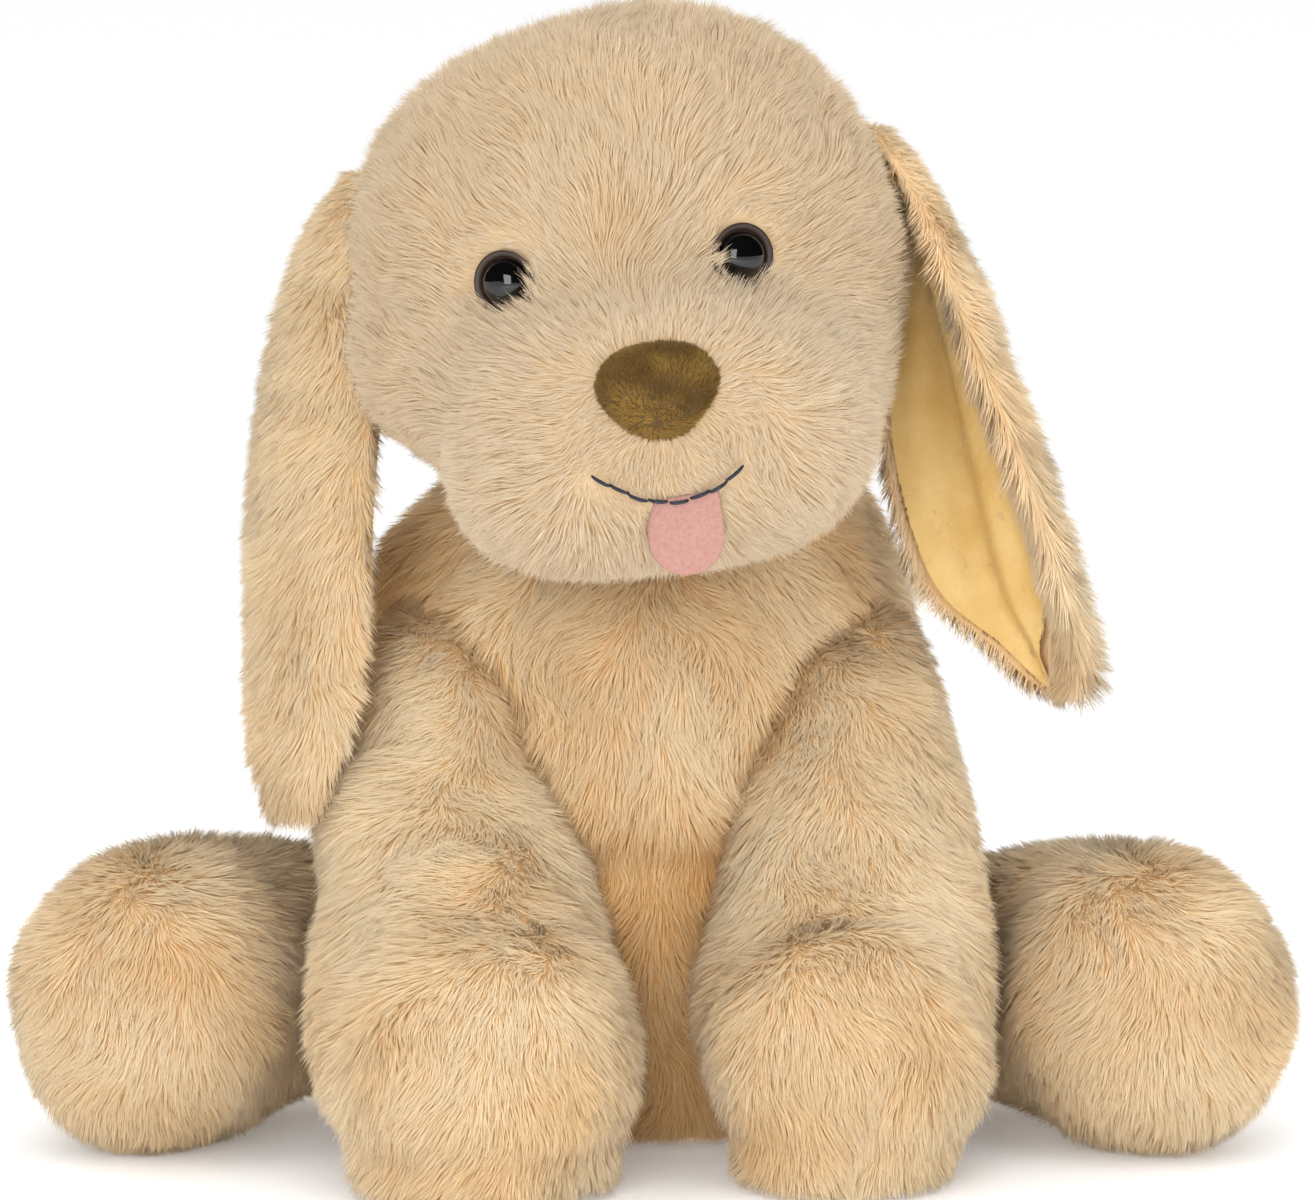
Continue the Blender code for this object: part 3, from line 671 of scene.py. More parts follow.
def lay_flow(pile, swirl, scatter):
    """The direction each strand leans: its flow along the skin, with swirls and stray hairs."""
    count = len(pile.roots)
    along = unit(pile.flow - pile.normals * (pile.flow * pile.normals).sum(axis=1, keepdims=True))
    turn = np.radians(Waves(pile.seed + 11, 42)(pile.roots) * swirl)
    turn += np.radians(Waves(pile.seed + 12, 15)(pile.roots) * swirl * 0.55)
    turn += np.radians(pile.rng.normal(size=count) * scatter)
    across = np.cross(pile.normals, along)
    return along * np.cos(turn)[:, None] + across * np.sin(turn)[:, None]


def tuft_of(pile, size):
    """Which tuft each strand belongs to: cells of a grid that noise has warped."""
    waves = [Waves(pile.seed + 20 + axis, size * 3.1) for axis in range(3)]
    warp = np.stack([wave(pile.roots) for wave in waves], axis=1)
    cells = np.floor((pile.roots + warp * size * 0.8) / size).astype(np.int64)
    keys = (cells[:, 0] * 73856093) ^ (cells[:, 1] * 19349663) ^ (cells[:, 2] * 83492791)
    _, tuft = np.unique(keys, return_inverse=True)
    return tuft


def tuft_mean(tuft, values):
    count = np.bincount(tuft)
    sums = [np.bincount(tuft, weights=values[:, axis]) for axis in range(3)]
    return (np.stack(sums, axis=1) / count[:, None])[tuft]


def grow(name, pile, width, tuft_size=3.0, gather=0.42, swirl=20, scatter=11):
    """Build the strands of a pile as one mesh of slim three-sided spikes."""
    count = len(pile.roots)
    rng = pile.rng
    along = lay_flow(pile, swirl, scatter)
    tuft = tuft_of(pile, tuft_size)
    tufts = tuft.max() + 1
    sway = rng.normal(size=(tufts, 2))
    lean = pile.lean + sway[tuft, 0] * 4 + rng.normal(size=count) * 6
    lean = np.radians(np.clip(lean, *LEAN_RANGE))
    length = pile.length * (1 + 0.06 * sway[tuft, 1]) * rng.uniform(0.80, 1.15, count)
    root = pile.roots - pile.normals * 0.5
    heading = pile.normals * np.cos(lean)[:, None] + along * np.sin(lean)[:, None]
    tip = root + heading * length[:, None]
    tip += (tuft_mean(tuft, tip) - tip) * gather
    axis = unit(tip - root)
    side = unit(np.cross(axis, pile.normals))
    up = np.cross(side, axis)
    thirds = np.array((0.0, math.tau / 3, math.tau * 2 / 3))
    turn = rng.uniform(0, math.tau, count)[:, None] + thirds
    out = np.cos(turn)[..., None] * side[:, None] + np.sin(turn)[..., None] * up[:, None]
    half = width / 2 * rng.uniform(0.75, 1.25, count)
    verts = np.concatenate((root[:, None] + out * half[:, None, None], tip[:, None]), axis=1)
    verts[:, :, 2] = np.maximum(verts[:, :, 2], FLOOR_CLEAR)

    shade = pile.normals * SKIN_SHADE + rng.normal(size=(tufts, 3))[tuft] * 0.05
    at_tip = (shade + axis * TIP_SHADE)[:, None]
    normals = np.concatenate((shade[:, None] + out * FACE_SHADE, at_tip), axis=1)
    # Painted shade: strands that start close to another part are darkened by the shade of the
    # crease between them.
    painted_shade = PAINTED_CREASE_SHADE * (1 - smooth_step(0, NEAR, pile.gap))
    tone = pile.tone - painted_shade + sway[tuft, 1] * 0.04 + rng.normal(size=count) * 0.07
    return spikes(name, verts, unit(normals), np.clip(tone, 0.03, 0.97))


def spikes(name, verts, normals, tone):
    """One mesh of spikes, three faces each, with tone and height as UVs."""
    count = len(verts)
    local = np.array((1, 0, 3, 2, 1, 3, 0, 2, 3))
    mesh = bpy.data.meshes.new(name)
    mesh.vertices.add(count * 4)
    mesh.vertices.foreach_set("co", (verts * MM).astype(np.float32).ravel())
    mesh.loops.add(count * 9)
    corners = local + np.arange(count)[:, None] * 4
    mesh.loops.foreach_set("vertex_index", corners.astype(np.int32).ravel())
    mesh.polygons.add(count * 3)
    mesh.polygons.foreach_set("loop_start", np.arange(0, count * 9, 3, dtype=np.int32))
    mesh.update(calc_edges=True)
    mesh.shade_smooth()
    heights = np.array((0.02, 0.02, 0.02, 0.98))[local]
    sides = np.array((-0.02, 0.02, 0.0, 0.0))[local]
    uv = np.stack((tone[:, None] + sides, np.broadcast_to(heights, (count, 9))), axis=2)
    layer = mesh.uv_layers.new(name="OFBake")
    layer.uv.foreach_set("vector", uv.astype(np.float32).ravel())
    mesh.normals_split_custom_set_from_vertices(normals.reshape(-1, 3).tolist())
    return new_object(name, mesh)


# -------------------- materials


def fill_in(node, **values):
    """Set a node's inputs, named with underscores for spaces."""
    for name, value in values.items():
        node.inputs[name.replace("_", " ")].default_value = value
    return node


def new_material(name, roughness):
    made = bpy.data.materials.new(name)
    made.use_nodes = True
    return made, fill_in(made.node_tree.nodes["Principled BSDF"], Roughness=roughness)


def ramp(tree, source, stops):
    node = tree.nodes.new("ShaderNodeValToRGB")
    elements = node.color_ramp.elements
    while len(elements) < len(stops):
        elements.new(0.5)
    for element, (place, colour) in zip(elements, stops):
        element.position = place
        element.color = (*colour, 1.0)
    tree.links.new(source, node.inputs["Fac"])
    return node.outputs["Color"]


def pile_material(name, warm, pale, stops, sheen, sheen_tint=(1.0, 0.9, 0.75)):
    """Strands coloured at stops from root to tip, each between a warm and a pale version."""
    made, shader = new_material(name, 0.85)
    tree = made.node_tree
    place = tree.nodes.new("ShaderNodeUVMap")
    place.uv_map = "OFBake"
    split = tree.nodes.new("ShaderNodeSeparateXYZ")
    tree.links.new(place.outputs["UV"], split.inputs["Vector"])
    warm_colour = ramp(tree, split.outputs["Y"], list(zip(stops, warm)))
    pale_colour = ramp(tree, split.outputs["Y"], list(zip(stops, pale)))
    mix = tree.nodes.new("ShaderNodeMix")
    mix.data_type = "RGBA"
    tree.links.new(split.outputs["X"], mix.inputs["Factor"])
    tree.links.new(warm_colour, mix.inputs["A"])
    tree.links.new(pale_colour, mix.inputs["B"])
    tree.links.new(mix.outputs["Result"], shader.inputs["Base Color"])
    fill_in(shader, Specular_IOR_Level=0.25, Sheen_Weight=sheen, Sheen_Roughness=0.5)
    fill_in(shader, Sheen_Tint=(*sheen_tint, 1.0))
    return made


def cloth_material(
    name, dark, light, scale, roughness=0.9, bump=0.3, bump_scale=900, sheen=0.0
):
    """Cloth in two tones of noise, with a fine grain."""
    made, shader = new_material(name, roughness)
    tree = made.node_tree
    place = tree.nodes.new("ShaderNodeTexCoord")
    noise = fill_in(tree.nodes.new("ShaderNodeTexNoise"), Scale=scale, Detail=5.0)
    tree.links.new(place.outputs["Object"], noise.inputs["Vector"])
    colour = ramp(tree, noise.outputs["Fac"], ((0.32, dark), (0.68, light)))
    tree.links.new(colour, shader.inputs["Base Color"])
    grain = fill_in(tree.nodes.new("ShaderNodeTexNoise"), Scale=bump_scale, Detail=3.0)
    tree.links.new(place.outputs["Object"], grain.inputs["Vector"])
    raised = fill_in(tree.nodes.new("ShaderNodeBump"), Strength=bump, Distance=0.0006)
    tree.links.new(grain.outputs["Fac"], raised.inputs["Height"])
    tree.links.new(raised.outputs["Normal"], shader.inputs["Normal"])
    fill_in(shader, Sheen_Weight=sheen, Sheen_Roughness=0.35)
    return made


def plastic_material(name, dark, light, roughness):
    made = cloth_material(name, dark, light, 60, roughness, bump=0.02, bump_scale=300)
    fill_in(made.node_tree.nodes["Principled BSDF"], Specular_IOR_Level=0.6)
    return made


FUR_STOPS = (0.0, 0.35, 0.8)
SHORT_STOPS = (0.0, 0.5, 1.0)
# Warm and pale colours, their stops, sheen and its tint; painted crease shade moves a strand toward
# its warm colours
PILE_LOOKS = {
    "fur": (
        ((0.62, 0.28, 0.07), (0.78, 0.43, 0.15), (0.86, 0.53, 0.22)),
        ((0.82, 0.55, 0.28), (0.91, 0.69, 0.42), (0.95, 0.78, 0.53)),
        FUR_STOPS, 0.2,
    ),
    "face_fur": (
        ((0.53, 0.29, 0.10), (0.64, 0.39, 0.17), (0.72, 0.49, 0.26)),
        ((0.64, 0.45, 0.25), (0.71, 0.54, 0.35), (0.76, 0.62, 0.44)),
        FUR_STOPS, 0.2,
    ),
    "ear_velour": (
        ((0.66, 0.34, 0.09), (0.74, 0.43, 0.14), (0.80, 0.50, 0.19)),
        ((0.80, 0.56, 0.22), (0.88, 0.69, 0.34), (0.93, 0.80, 0.48)),
        SHORT_STOPS, 0.3, (1.0, 0.92, 0.65),
    ),
    "nose_pile": (
        ((0.050, 0.024, 0.004), (0.105, 0.054, 0.010), (0.170, 0.092, 0.020)),
        ((0.120, 0.062, 0.010), (0.260, 0.145, 0.028), (0.420, 0.255, 0.060)),
        SHORT_STOPS, 0.04,
    ),
}
# Dark and light colours, scale of their noise, roughness, bump and its scale, sheen
CLOTH_LOOKS = {
    "fur_ground": ((0.70, 0.45, 0.21), (0.78, 0.54, 0.29), 90, 0.9, 0.3, 900, 0.1),
    "face_ground": ((0.58, 0.41, 0.23), (0.65, 0.48, 0.29), 90, 0.9, 0.3, 900, 0.1),
    "ear_velour_ground": ((0.70, 0.44, 0.13), (0.80, 0.56, 0.22), 70, 0.6),
    "nose_ground": ((0.06, 0.03, 0.008), (0.14, 0.08, 0.022), 200),
    "tongue_felt": ((0.41, 0.21, 0.175), (0.48, 0.26, 0.215), 900, 0.95, 0.8, 1500, 0.1),
    "mouth_thread": ((0.012, 0.014, 0.022), (0.035, 0.038, 0.055), 900, 0.6, 0.6, 2500),
    "seam_thread": ((0.52, 0.33, 0.15), (0.68, 0.47, 0.25), 700, 0.6, 0.6, 2500),
    "fibre": ((0.80, 0.80, 0.78), (0.95, 0.95, 0.93), 260, 0.95, 1.0, 700),
    "linen": ((0.66, 0.60, 0.50), (0.82, 0.77, 0.68), 500, 0.9, 0.8, 1800),
    "label": ((0.84, 0.83, 0.81), (0.93, 0.92, 0.90), 400, 0.55, 0.5, 2200),
}
# Dark and light colours, roughness
PLASTIC_LOOKS = {
    "eye_black": ((0.002, 0.002, 0.002), (0.004, 0.004, 0.004), 0.05),
    "eye_ring": ((0.030, 0.016, 0.011), (0.045, 0.024, 0.016), 0.5),
    "washer": ((0.72, 0.72, 0.70), (0.82, 0.82, 0.80), 0.4),
}
MATERIALS = {
    **{name: pile_material(name, *look) for name, look in PILE_LOOKS.items()},
    **{name: cloth_material(name, *look) for name, look in CLOTH_LOOKS.items()},
    **{name: plastic_material(name, *look) for name, look in PLASTIC_LOOKS.items()},
}


def paint(obj, material):
    obj.data.materials.clear()
    obj.data.materials.append(MATERIALS[material])


def wear(obj, material):
    paint(obj, material)
    return obj


# -------------------- fur of each part


def line_distance(points, line):
    """The distance from each point to a polyline."""
    best = np.full(len(points), 1e9)
    for start, end in zip(line, line[1:]):
        step = end - start
        share = np.clip(((points - start) @ step) / (step @ step), 0, 1)
        best = np.minimum(best, np.linalg.norm(points - start - share[:, None] * step, axis=1))
    return best


def head_fur(skin, torso):
    """Pile that radiates from the nose, short about eyes, nose and mouth."""
    pile = Pile(skin, 2.7, SEED + 30)
    offset = pile.roots - NOSE_POINT
    from_nose = np.linalg.norm(offset, axis=1)
    pile.flow = offset
    pile.length = HEAD_PILE * (0.58 + 0.42 * smooth_step(16, 50, from_nose))
    pile.lean = 50 + 10 * smooth_step(20, 60, from_nose)
    pile.tone = 0.84 - 0.20 * smooth_step(45, 100, from_nose)
    in_nose = (offset[:, 0] / NOSE_HALF[0]) ** 2 + (offset[:, 2] / NOSE_HALF[1]) ** 2 < 0.72
    wanted = ~(in_nose & (pile.roots[:, 1] < -100))
    for side in EYE_PLACES:
        wanted &= lay_round_eye(pile, side)
    mouth = line_distance(pile.roots, MOUTH_LINE)
    pile.length *= 0.5 + 0.5 * smooth_step(1.0, 9, mouth)
    wanted &= mouth > 0.6
    # Painted shade: a strip up the middle of the forehead is darkened, as the shade where the pile
    # parts.
    parting = np.linalg.norm((pile.roots - face_point(-7, 249)) * (1.0, 1.0, 0.55), axis=1)
    pile.tone -= hump(parting, 0, 7) * 0.4
    pile = pile.picked(wanted).clear_of([torso], 6)
    front = pile.roots[:, 1] < FACE_EDGE_Y
    sow("head_fur_face", pile.picked(front), "head", 0.42, "fur_pale", "face_fur")
    sow("head_fur_back", pile.picked(~front), "head", 0.44, material="face_fur")


def lay_round_eye(pile, side):
    """Shorten the pile round an eye, but let the lower lid's pile stand up over its edge.

    Gives back which strands leave the eye free."""
    place, below = EYE_PLACES[side], EYE_BELOW[side]
    distance = np.linalg.norm(pile.roots - place, axis=1)
    under = (pile.roots - place) @ below > 3.5
    near = under * smooth_step(22, 10, distance)
    pile.flow = unit(pile.flow) * (1 - near)[:, None] - below * near[:, None]
    pile.lean = pile.lean - 14 * near
    pile.length = np.where(
        under,
        np.maximum(pile.length, HEAD_PILE * 0.95 * near),
        pile.length * (0.45 + 0.55 * smooth_step(RING_RADIUS, 22, distance)),
    )
    ends = pile.roots + unit(pile.flow) * (pile.length * 0.7)[:, None]
    covers = np.linalg.norm(ends - place, axis=1) < np.where(under, 4.6, RING_RADIUS + 0.6)
    return (distance > RING_RADIUS - 0.4 * under) & ~covers


def sow(name, pile, body, width, slot="fur_tan", material="fur", **lay):
    """Grow a pile, in as many pieces side by side as keep each of them light."""
    order = np.argsort(pile.roots[:, 0], kind="stable")
    parts = math.ceil(len(order) / STRANDS_PER_PIECE)
    for number, chosen in enumerate(np.array_split(order, parts)):
        label = name if parts == 1 else f"{name}_{number + 1}"
        fur = grow(label, pile.picked(chosen), width, **lay)
        wear(fur, material)
        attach(fur, body)


def torso_fur(skin, limbs, head):
    """Pile that runs down from the neck, darkened with painted shade on the belly between the arms,
    and short under the head.
    """
    pile = Pile(skin, 2.4, SEED + 31, length=10.0, lean=60.0)
    neck = np.array((0.0, -30.0, 205.0))
    pile.flow = unit(pile.roots - neck) * 0.55 + np.array((0.0, 0.0, -0.8))
    pile.tone = 0.64 + 0.10 * Waves(SEED + 5, 60)(pile.roots)
    front = pile.roots[:, 1] < 0
    # Painted shade: the front of the torso low between the arms is darkened, where the belly lies
    # in shade.
    belly = smooth_step(112, 72, pile.roots[:, 2])
    pile.tone -= 0.45 * belly * front * between_arms(pile.roots)
    pile = pile.picked(pile.roots[:, 2] > 2.0).clear_of([head], 9)
    pile.length *= 0.35 + 0.65 * smooth_step(0, NEAR, pile.gap)
    pile = pile.clear_of(limbs, 3)
    front = pile.roots[:, 1] < 0
    sow("torso_fur_front", pile.picked(front), "torso", 0.46)
    sow("torso_fur_back", pile.picked(~front), "torso", 0.48)


def make_neck(torso, head):
    """A short sleeve of fur round the neck's filling, seen where the head turns away."""
    low, high = np.array(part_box("neck_stuffing")) / MM
    sleeve = ball("neck_skin", 5)
    shape = squared_off(unit(read_points(sleeve)), 0.8)
    write_points(sleeve, shape * ((high - low) / 2 + 0.6) + (high + low) / 2)
    pile = Pile(sleeve, 2.4, SEED + 43, length=6.0).clear_of([torso, head], 2)
    pile.gap[:] = NEAR
    sow("neck_fur", pile, "neck", 0.44)
    skin_piece(sleeve, "neck", ["neck_stuffing"])


def arm_fur(side, skin, torso):
    flow = (0.30 * SIGN[side], -0.20, -1.0)
    pile = Pile(skin, 2.6, SEED + 32 + TURN[side], LIMB_PILE, flow=flow)
    low = pile.roots[:, 2]
    # Painted light and shade: the arm's colour is paler toward its top and darker over the paw, to
    # match how the light falls on them.
    pile.tone = 0.64 + 0.08 * Waves(SEED + 6, 50)(pile.roots) + 0.24 * smooth_step(48, 80, low)
    pile.lean = 60 - 16 * smooth_step(15, 4, low)
    # Painted light: the pile low on the paw is paler, lifting the shade that shows among its
    # strands there.
    pile.tone += 0.2 * smooth_step(15, 4, low)
    pile = pile.picked(low > 1.2).clear_of([torso], 5)
    sow(f"arm_{side}_fur", pile, f"arm_{side}", 0.44)


def leg_fur(side, skin, torso):
    pile = Pile(skin, 2.5, SEED + 34 + TURN[side], LIMB_PILE)
    foot = np.array(leg_sections(side)[FOOT_SECTION][:3], dtype=float)
    pile.flow = (pile.roots - foot) / 34 * (1.0, 0.0, 0.25) + np.array((0.0, -0.40, -0.9))
    pile.tone = 0.72 + 0.10 * Waves(SEED + 8, 50)(pile.roots)
    pile = pile.picked(pile.roots[:, 2] > 1.0).clear_of([torso], 5)
    sow(f"leg_{side}_fur", pile, f"leg_{side}", 0.44)


def ear_fur(side, skin, lining, head):
    pile = Pile(skin, 2.9, SEED + 36 + TURN[side], lean=52.0)
    pile.tone = 0.80 + 0.06 * Waves(SEED + 9, 50)(pile.roots)
    tree = obstacle(lining)[0]
    pile.length = np.array([12.0 * (0.42 + 0.58 * edge_share(tree, root)) for root in pile.roots])
    pile.length *= 1.0 - 0.35 * smooth_step(225, 265, pile.roots[:, 2])
    bare = [covered(tree, root, normal) for root, normal in zip(pile.roots, pile.normals)]
    pile = pile.picked(~np.array(bare)).clear_of([head], 5)
    pile.gap[:] = NEAR
    sow(f"ear_{side}_pile", pile, f"ear_{side}", 0.42, gather=0.28, scatter=8)

    velour = Pile(lining, 4.0, SEED + 38 + TURN[side], length=1.9, lean=70.0)
    reach = ear_reach(side, velour.roots)
    velour.tone = 0.80 + 0.10 * Waves(SEED + 10, 26)(velour.roots)
    # Painted shade: the velour is darker behind the fold, on the inner half that lies in the head's
    # shade; it is also darker toward its front edge and toward the bottom.
    velour.tone -= (
        0.50 * smooth_step(0.62, 0.9, reach) + 0.35 * smooth_step(0.15, -0.25, reach)
    )
    velour.tone -= 0.22 * smooth_step(200, 150, velour.roots[:, 2])
    velour = velour.clear_of([head], 3)
    sow(
        f"ear_{side}_velour", velour, f"ear_{side}", 0.34, "satin_gold", "ear_velour",
        tuft_size=2.2, gather=0.25, swirl=30,
    )


def covered(tree, root, normal):
    """Whether a strand would start under the lining, or at its very edge."""
    hit = tree.ray_cast(Vector(root - normal), Vector(normal), 16)[0]
    return hit is not None or tree.find_nearest(Vector(root))[3] < 1.6


def edge_share(tree, root):
    """How far from the lining a strand starts: 0 at its edge, 1 where it no longer matters."""
    return min(tree.find_nearest(Vector(root))[3] / 11.0, 1.0)


def ear_reach(side, points):
    """Where points lie across an ear, from -1 at its back edge to 1 at its front edge."""
    stations = np.array(EARS[side], dtype=float)[::-1]
    x, y, half, turn = (
        np.interp(points[:, 2], stations[:, 2], stations[:, row]) for row in (0, 1, 3, 4)
    )
    heading = np.radians(turn)
    chord = half * math.sin(EAR_CURL) / EAR_CURL
    return ((points[:, 0] - x) * np.cos(heading) + (points[:, 1] - y) * np.sin(heading)) / chord


def tail_fur(skin, torso):
    to_tip = np.subtract(TAIL[-1][:3], TAIL[2][:3]).astype(float)
    pile = Pile(skin, 2.2, SEED + 40, flow=to_tip).clear_of([torso], 4)
    sow("tail_fur", pile, "tail", 0.46)


# -------------------- face


def turned(name, profile, place, normal, closed=False, sides=48):
    """A profile of radius and height, turned about the axis that leaves the face at a place."""
    turn = np.array(Vector(normal).to_track_quat("Z", "Y").to_matrix())
    angles = [math.tau * corner / sides for corner in range(sides)]
    rows = []
    for radius, height in profile:
        row = [(radius * math.cos(angle), radius * math.sin(angle), height) for angle in angles]
        rows.append(np.array(row if radius else row[:1]) @ turn.T + place)
    return shell(name, rows, closed)


def make_eye(side):
    """A polished dome with its stem, in a brown ring that is rolled over at its edge."""
    place, normal = EYE_PLACES[side], EYE_NORMALS[side]
    lip = EYE_RADIUS - 0.6
    stem = [(0, -13), (1.7, -13), (1.7, -0.4)]
    dome = [*stem, (EYE_RADIUS, -0.3), (EYE_RADIUS, 0.5), (lip, 0.7)]
    for step in range(1, 16):
        angle = math.radians(90 * step / 16)
        dome.append((lip * math.cos(angle) ** 0.86, 0.7 + 5.2 * math.sin(angle)))
    dome.append((0, 5.9))
    eye = wear(turned(f"eye_{side}_dome", dome, place, normal), "eye_black")
    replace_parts(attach(eye, "head"), f"eye_{side}")

    inner, outer = EYE_RADIUS - 0.5, RING_RADIUS
    middle, half = (inner + outer) / 2, (outer - inner) / 2
    rim = []
    for corner in range(10):
        rise, reach = math.sin(math.tau * corner / 10), math.cos(math.tau * corner / 10)
        rim.append((middle + half * reach, 1.6 + 0.75 * rise + 0.5 * reach))
    ring = turned(f"eye_{side}_rim", rim, place, normal, closed=True)
    wear(ring, "eye_ring")
    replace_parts(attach(ring, "head"), f"eye_{side}_iris_ring")


def make_nose():
    """A puffed pad of short dense pile."""
    pad = ball("nose_pad", 4)
    x, z = NOSE
    centre = face_point(x, z) + np.array((0.0, 1.0, -0.6))
    shape = squared_off(unit(read_points(pad)), 0.84) * (NOSE_HALF[0], 10.5, NOSE_HALF[1])
    low = smooth_step(3, -NOSE_HALF[1], shape[:, 2])
    shape[:, 0] *= 1.0 - 0.34 * low
    shape[:, 1] *= 1.0 - 0.10 * low
    write_points(pad, shape @ HEAD_ROLL.T + centre)
    wear(pad, "nose_ground")
    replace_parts(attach(pad, "head"), "nose_cover")

    pile = Pile(pad, 9.0, SEED + 41, length=2.3, lean=52.0)
    low = centre + np.array((0.0, -7.0, -7.0))
    pile.flow = unit(pile.roots - low)
    # Painted light: the pile is darker toward the top of the nose and paler toward its bottom,
    # where it catches the light.
    pile.tone = 0.42 - 0.03 * (pile.roots[:, 2] - z) + 0.24 * Waves(SEED + 12, 13)(pile.roots)
    front = pile.roots[:, 1] < centre[1] + 3.0
    sow(
        "nose_fur", pile.picked(front), "head", 0.32, "nose_pile", "nose_pile",
        tuft_size=1.5, gather=0.40, swirl=26,
    )


def make_mouth():
    """Backstitches of dark thread that lie along the smile, a little sunk in the pile."""
    ends = MOUTH_LINE[0] * 2 - MOUTH_LINE[1], MOUTH_LINE[-1] * 2 - MOUTH_LINE[-2]
    line = [ends[0], *MOUTH_LINE, ends[1]]
    steps = 10
    path = [
        along_curve(*corners, step / steps)
        for corners in zip(line, line[1:], line[2:], line[3:])
        for step in range(steps)
    ]
    path = np.array([*path, MOUTH_LINE[-1]])
    path[:, 1] -= MOUTH_PROUD
    curve = bpy.data.curves.new("mouth_stitches", "CURVE")
    curve.dimensions = "3D"
    curve.bevel_depth = 0.50 * MM
    curve.bevel_resolution = 3
    curve.use_fill_caps = True
    stitch = 6
    for number, start in enumerate(range(0, len(path) - stitch, stitch)):
        points = path[start:start + stitch + 1]
        spline = curve.splines.new("POLY")
        spline.points.add(len(points) - 1)
        for index, (point, place) in enumerate(zip(spline.points, points)):
            sink = 2.6 * (2.0 * index / stitch - 1.0) ** 4
            lift = 0.25 if number % 2 else -0.15
            point.co = (place[0] * MM, (place[1] + sink) * MM, (place[2] + lift) * MM, 1)
            point.radius = 1.0 - 0.35 * abs(2.0 * index / stitch - 1.0) ** 3
    stitches = new_object("mouth_stitches", curve)
    wear(stitches, "mouth_thread")
    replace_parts(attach(stitches, "head"), "mouth_thread")


def make_tongue():
    """A felt tongue with a soft edge, a shallow groove and a slight curl at its tip."""
    low, high = np.array(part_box("tongue")) / MM
    middle, half = (low[0] + high[0]) / 2, (high[0] - low[0]) / 2
    length = high[2] - low[2] - 0.8
    steps, sides = 26, 28
    rows = []
    for step in range(steps + 1):
        down = length * step / steps
        beyond = max(0.0, down - (length - half)) / half
        width = half * math.sqrt(max(0.0, 1 - beyond**2)) * (0.86 + 0.14 * min(down / 8, 1))
        depth = high[1] - 0.8 - 1.4 * (down / length) ** 2 - 1.0
        if step == steps:
            rows.append([(middle, depth, high[2] + 0.8 - down)])
            continue
        row = []
        for corner in range(sides):
            angle = math.tau * corner / sides
            across = math.cos(angle) * width
            swell = math.copysign(abs(math.sin(angle)) ** 0.5, math.sin(angle)) * 0.85
            groove = 0.4 * math.exp(-((across / 2.6) ** 2)) + 0.008 * across**2
            rise = 0.16 * across * max(0.0, 1 - down / 5)
            row.append((middle + across, depth + swell + groove, high[2] + 0.8 - down + rise))
        rows.append(row)
    tongue = shell("tongue_felt", rows)
    wear(tongue, "tongue_felt")
    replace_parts(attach(tongue, "tongue"), "tongue")


def make_label():
    """A blank woven ribbon that hangs out of the back over the pile."""
    low, high = np.array(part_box("care_label")) / MM
    width, drop = 16.0, high[2] - low[2]
    centre = (low + high) / 2
    out = unit(np.array((centre[0], centre[1] - TORSO_AXIS_Y, 0.0)))
    across = np.array((-out[1], out[0], 0.0))
    verts, faces, rows, columns = [], [], 24, 8
    for row in range(rows + 1):
        share = row / rows
        proud = 6.5 * math.sin(min(share * 2.2, 1.0) * math.pi / 2) - 0.8 * share
        for column in range(columns + 1):
            side = width * (column / columns - 0.5)
            wave = 0.5 * math.sin(column / columns * 5 + share * 4)
            place = centre + out * (proud + wave) + across * side
            place[2] = high[2] - drop * share
            verts.append(place)
    for row in range(rows):
        for column in range(columns):
            corner = row * (columns + 1) + column
            faces.append((corner, corner + 1, corner + columns + 2, corner + columns + 1))
    label = mesh_object("care_ribbon", verts, faces)
    wall = label.modifiers.new("cloth", "SOLIDIFY")
    wall.thickness = 0.5 * MM
    settle(label)
    wear(label, "label")
    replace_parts(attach(label, "torso"), "care_label")


# -------------------- scene


def dress_inner_nodes():
    """Materials for the CAD pieces that show inside an opened toy."""
    looks = {"stuffing": "fibre", "wadding": "fibre", "bean_bag": "linen", "washer": "washer"}
    for name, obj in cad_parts.items():
        for ending, look in looks.items():
            if name.endswith(ending):
                paint(obj, look)
    paint(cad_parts["closing_seam_thread"], "seam_thread")


def add_area_light(name, place, target, size, power, glossy=True):
    """A soft light, all in metres and watts; without glossy it makes no highlights."""
    light = bpy.data.lights.new(name, "AREA")
    light.shape = "RECTANGLE"
    light.size, light.size_y = size
    light.energy = power
    obj = new_object(name, light)
    obj.location = place
    obj.rotation_euler = (Vector(target) - Vector(place)).to_track_quat("-Z", "Y").to_euler()
    obj.visible_glossy = glossy


def studio_world():
    """Even white surroundings, dimmer toward the front, where a studio is dark round its lights."""
    world = bpy.data.worlds.new("studio")
    world.use_nodes = True
    tree = world.node_tree
    place = tree.nodes.new("ShaderNodeTexCoord")
    split = tree.nodes.new("ShaderNodeSeparateXYZ")
    tree.links.new(place.outputs["Generated"], split.inputs["Vector"])
    spread = fill_in(tree.nodes.new("ShaderNodeMapRange"), From_Min=-0.88, From_Max=-0.62)
    tree.links.new(split.outputs["Y"], spread.inputs["Value"])
    dim, white = (0.10, 0.10, 0.11), (1.0, 1.0, 1.0)
    colour = ramp(tree, spread.outputs["Result"], ((0.0, dim), (1.0, white)))
    tree.links.new(colour, tree.nodes["Background"].inputs["Color"])
    return world


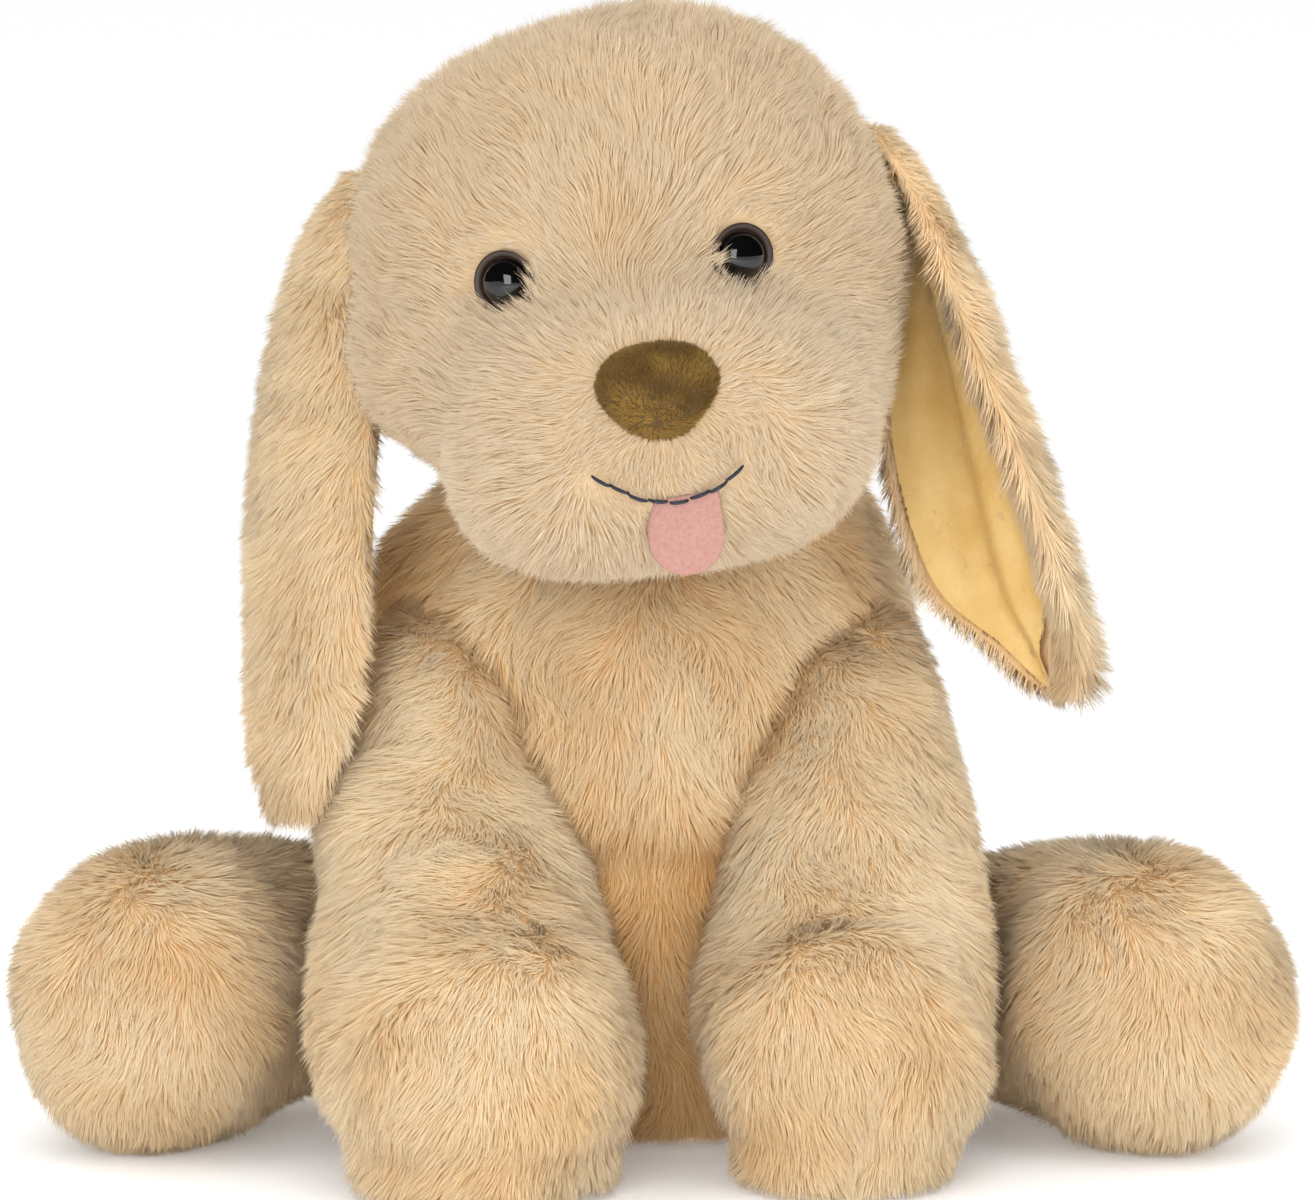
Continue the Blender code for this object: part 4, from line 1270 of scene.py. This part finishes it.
def studio():
    """Pale floor, even white surroundings and soft lights."""
    bpy.ops.mesh.primitive_plane_add(size=60)
    floor = bpy.context.object
    floor.name = "studio_floor"
    made, shader = new_material("studio_floor", 0.95)
    fill_in(shader, Base_Color=(0.95, 0.95, 0.95, 1))
    fill_in(shader, Emission_Color=(1, 1, 1, 1), Emission_Strength=0.17)
    floor.data.materials.append(made)
    bpy.context.scene.world = studio_world()
    bpy.context.scene.world.cycles_visibility.glossy = False
    add_area_light("key", (-0.28, -1.20, 0.46), (0, -0.05, 0.10), (0.62, 0.70), 7.0)
    add_area_light("fill", (0.75, -1.05, 0.22), (0, 0, 0.08), (1.4, 0.8), 6.0, glossy=False)
    add_area_light("above", (0.0, -0.45, 1.5), (0, 0, 0.1), (1.6, 1.2), 5.0, glossy=False)
    bpy.context.scene.view_settings.view_transform = "Standard"


def camera():
    """A long lens in front of the dog and a little above it, in metres."""
    elevation = math.radians(7)
    target = Vector((0.00345, 0.0, 0.1426))
    distance = 1.6
    made = bpy.data.cameras.new("camera")
    made.sensor_width = 36
    made.lens = 158.7
    obj = new_object("camera", made)
    back = Vector((0, -math.cos(elevation), math.sin(elevation)))
    obj.location = target + back * distance
    obj.rotation_euler = (math.radians(90) - elevation, 0, 0)
    bpy.context.scene.camera = obj


def skin_piece(obj, body, nodes, material="fur_ground"):
    wear(obj, material)
    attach(obj, body)
    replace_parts(obj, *nodes)


def build():
    camera()
    studio()
    dress_inner_nodes()
    arms = {side: arm_skin(side) for side in ARMS}
    legs = {side: leg_skin(side) for side in LEG_REACH}
    head = head_skin()
    tail = stand_on_floor(loft("tail_skin", TAIL))
    limbs = [*arms.values(), *legs.values(), tail]
    torso = torso_skin(limbs)
    ears = {side: ear_shell(f"ear_{side}_skin", side, thickness=4.5, roll=0.9) for side in EARS}
    linings = {
        side: ear_shell(f"ear_{side}_satin", side, 1.6, 3.6, 2.5, front_inset, ridge=ridge)
        for side, front_inset, ridge in (("left", 12.0, 3.2), ("right", -1.5, 0.8))
    }
    torso_box, head_box = obstacle(torso), obstacle(head)

    head_fur(head, torso_box)
    torso_fur(torso, [obstacle(limb) for limb in limbs], head_box)
    for side in ("left", "right"):
        arm_fur(side, arms[side], torso_box)
        leg_fur(side, legs[side], torso_box)
        ear_fur(side, ears[side], linings[side], head_box)
        make_eye(side)
    tail_fur(tail, torso_box)
    make_neck(torso_box, head_box)
    make_nose()
    make_mouth()
    make_tongue()

    skin_piece(head, "head", ["head_cover", "muzzle_cover"], "face_ground")
    skin_piece(torso, "torso", ["torso_cover"])
    skin_piece(tail, "tail", ["tail_cover"])
    for side in ("left", "right"):
        arm_nodes = [f"arm_{side}_cover", f"arm_{side}_sole"]
        leg_nodes = [f"leg_{side}_cover", f"leg_{side}_foot_panel"]
        skin_piece(arms[side], f"arm_{side}", arm_nodes)
        skin_piece(legs[side], f"leg_{side}", leg_nodes)
        skin_piece(ears[side], f"ear_{side}", [f"ear_{side}_fur"])
        wear(linings[side], "ear_velour_ground")
        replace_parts(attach(linings[side], f"ear_{side}"), f"ear_{side}_lining")
    make_label()


build()
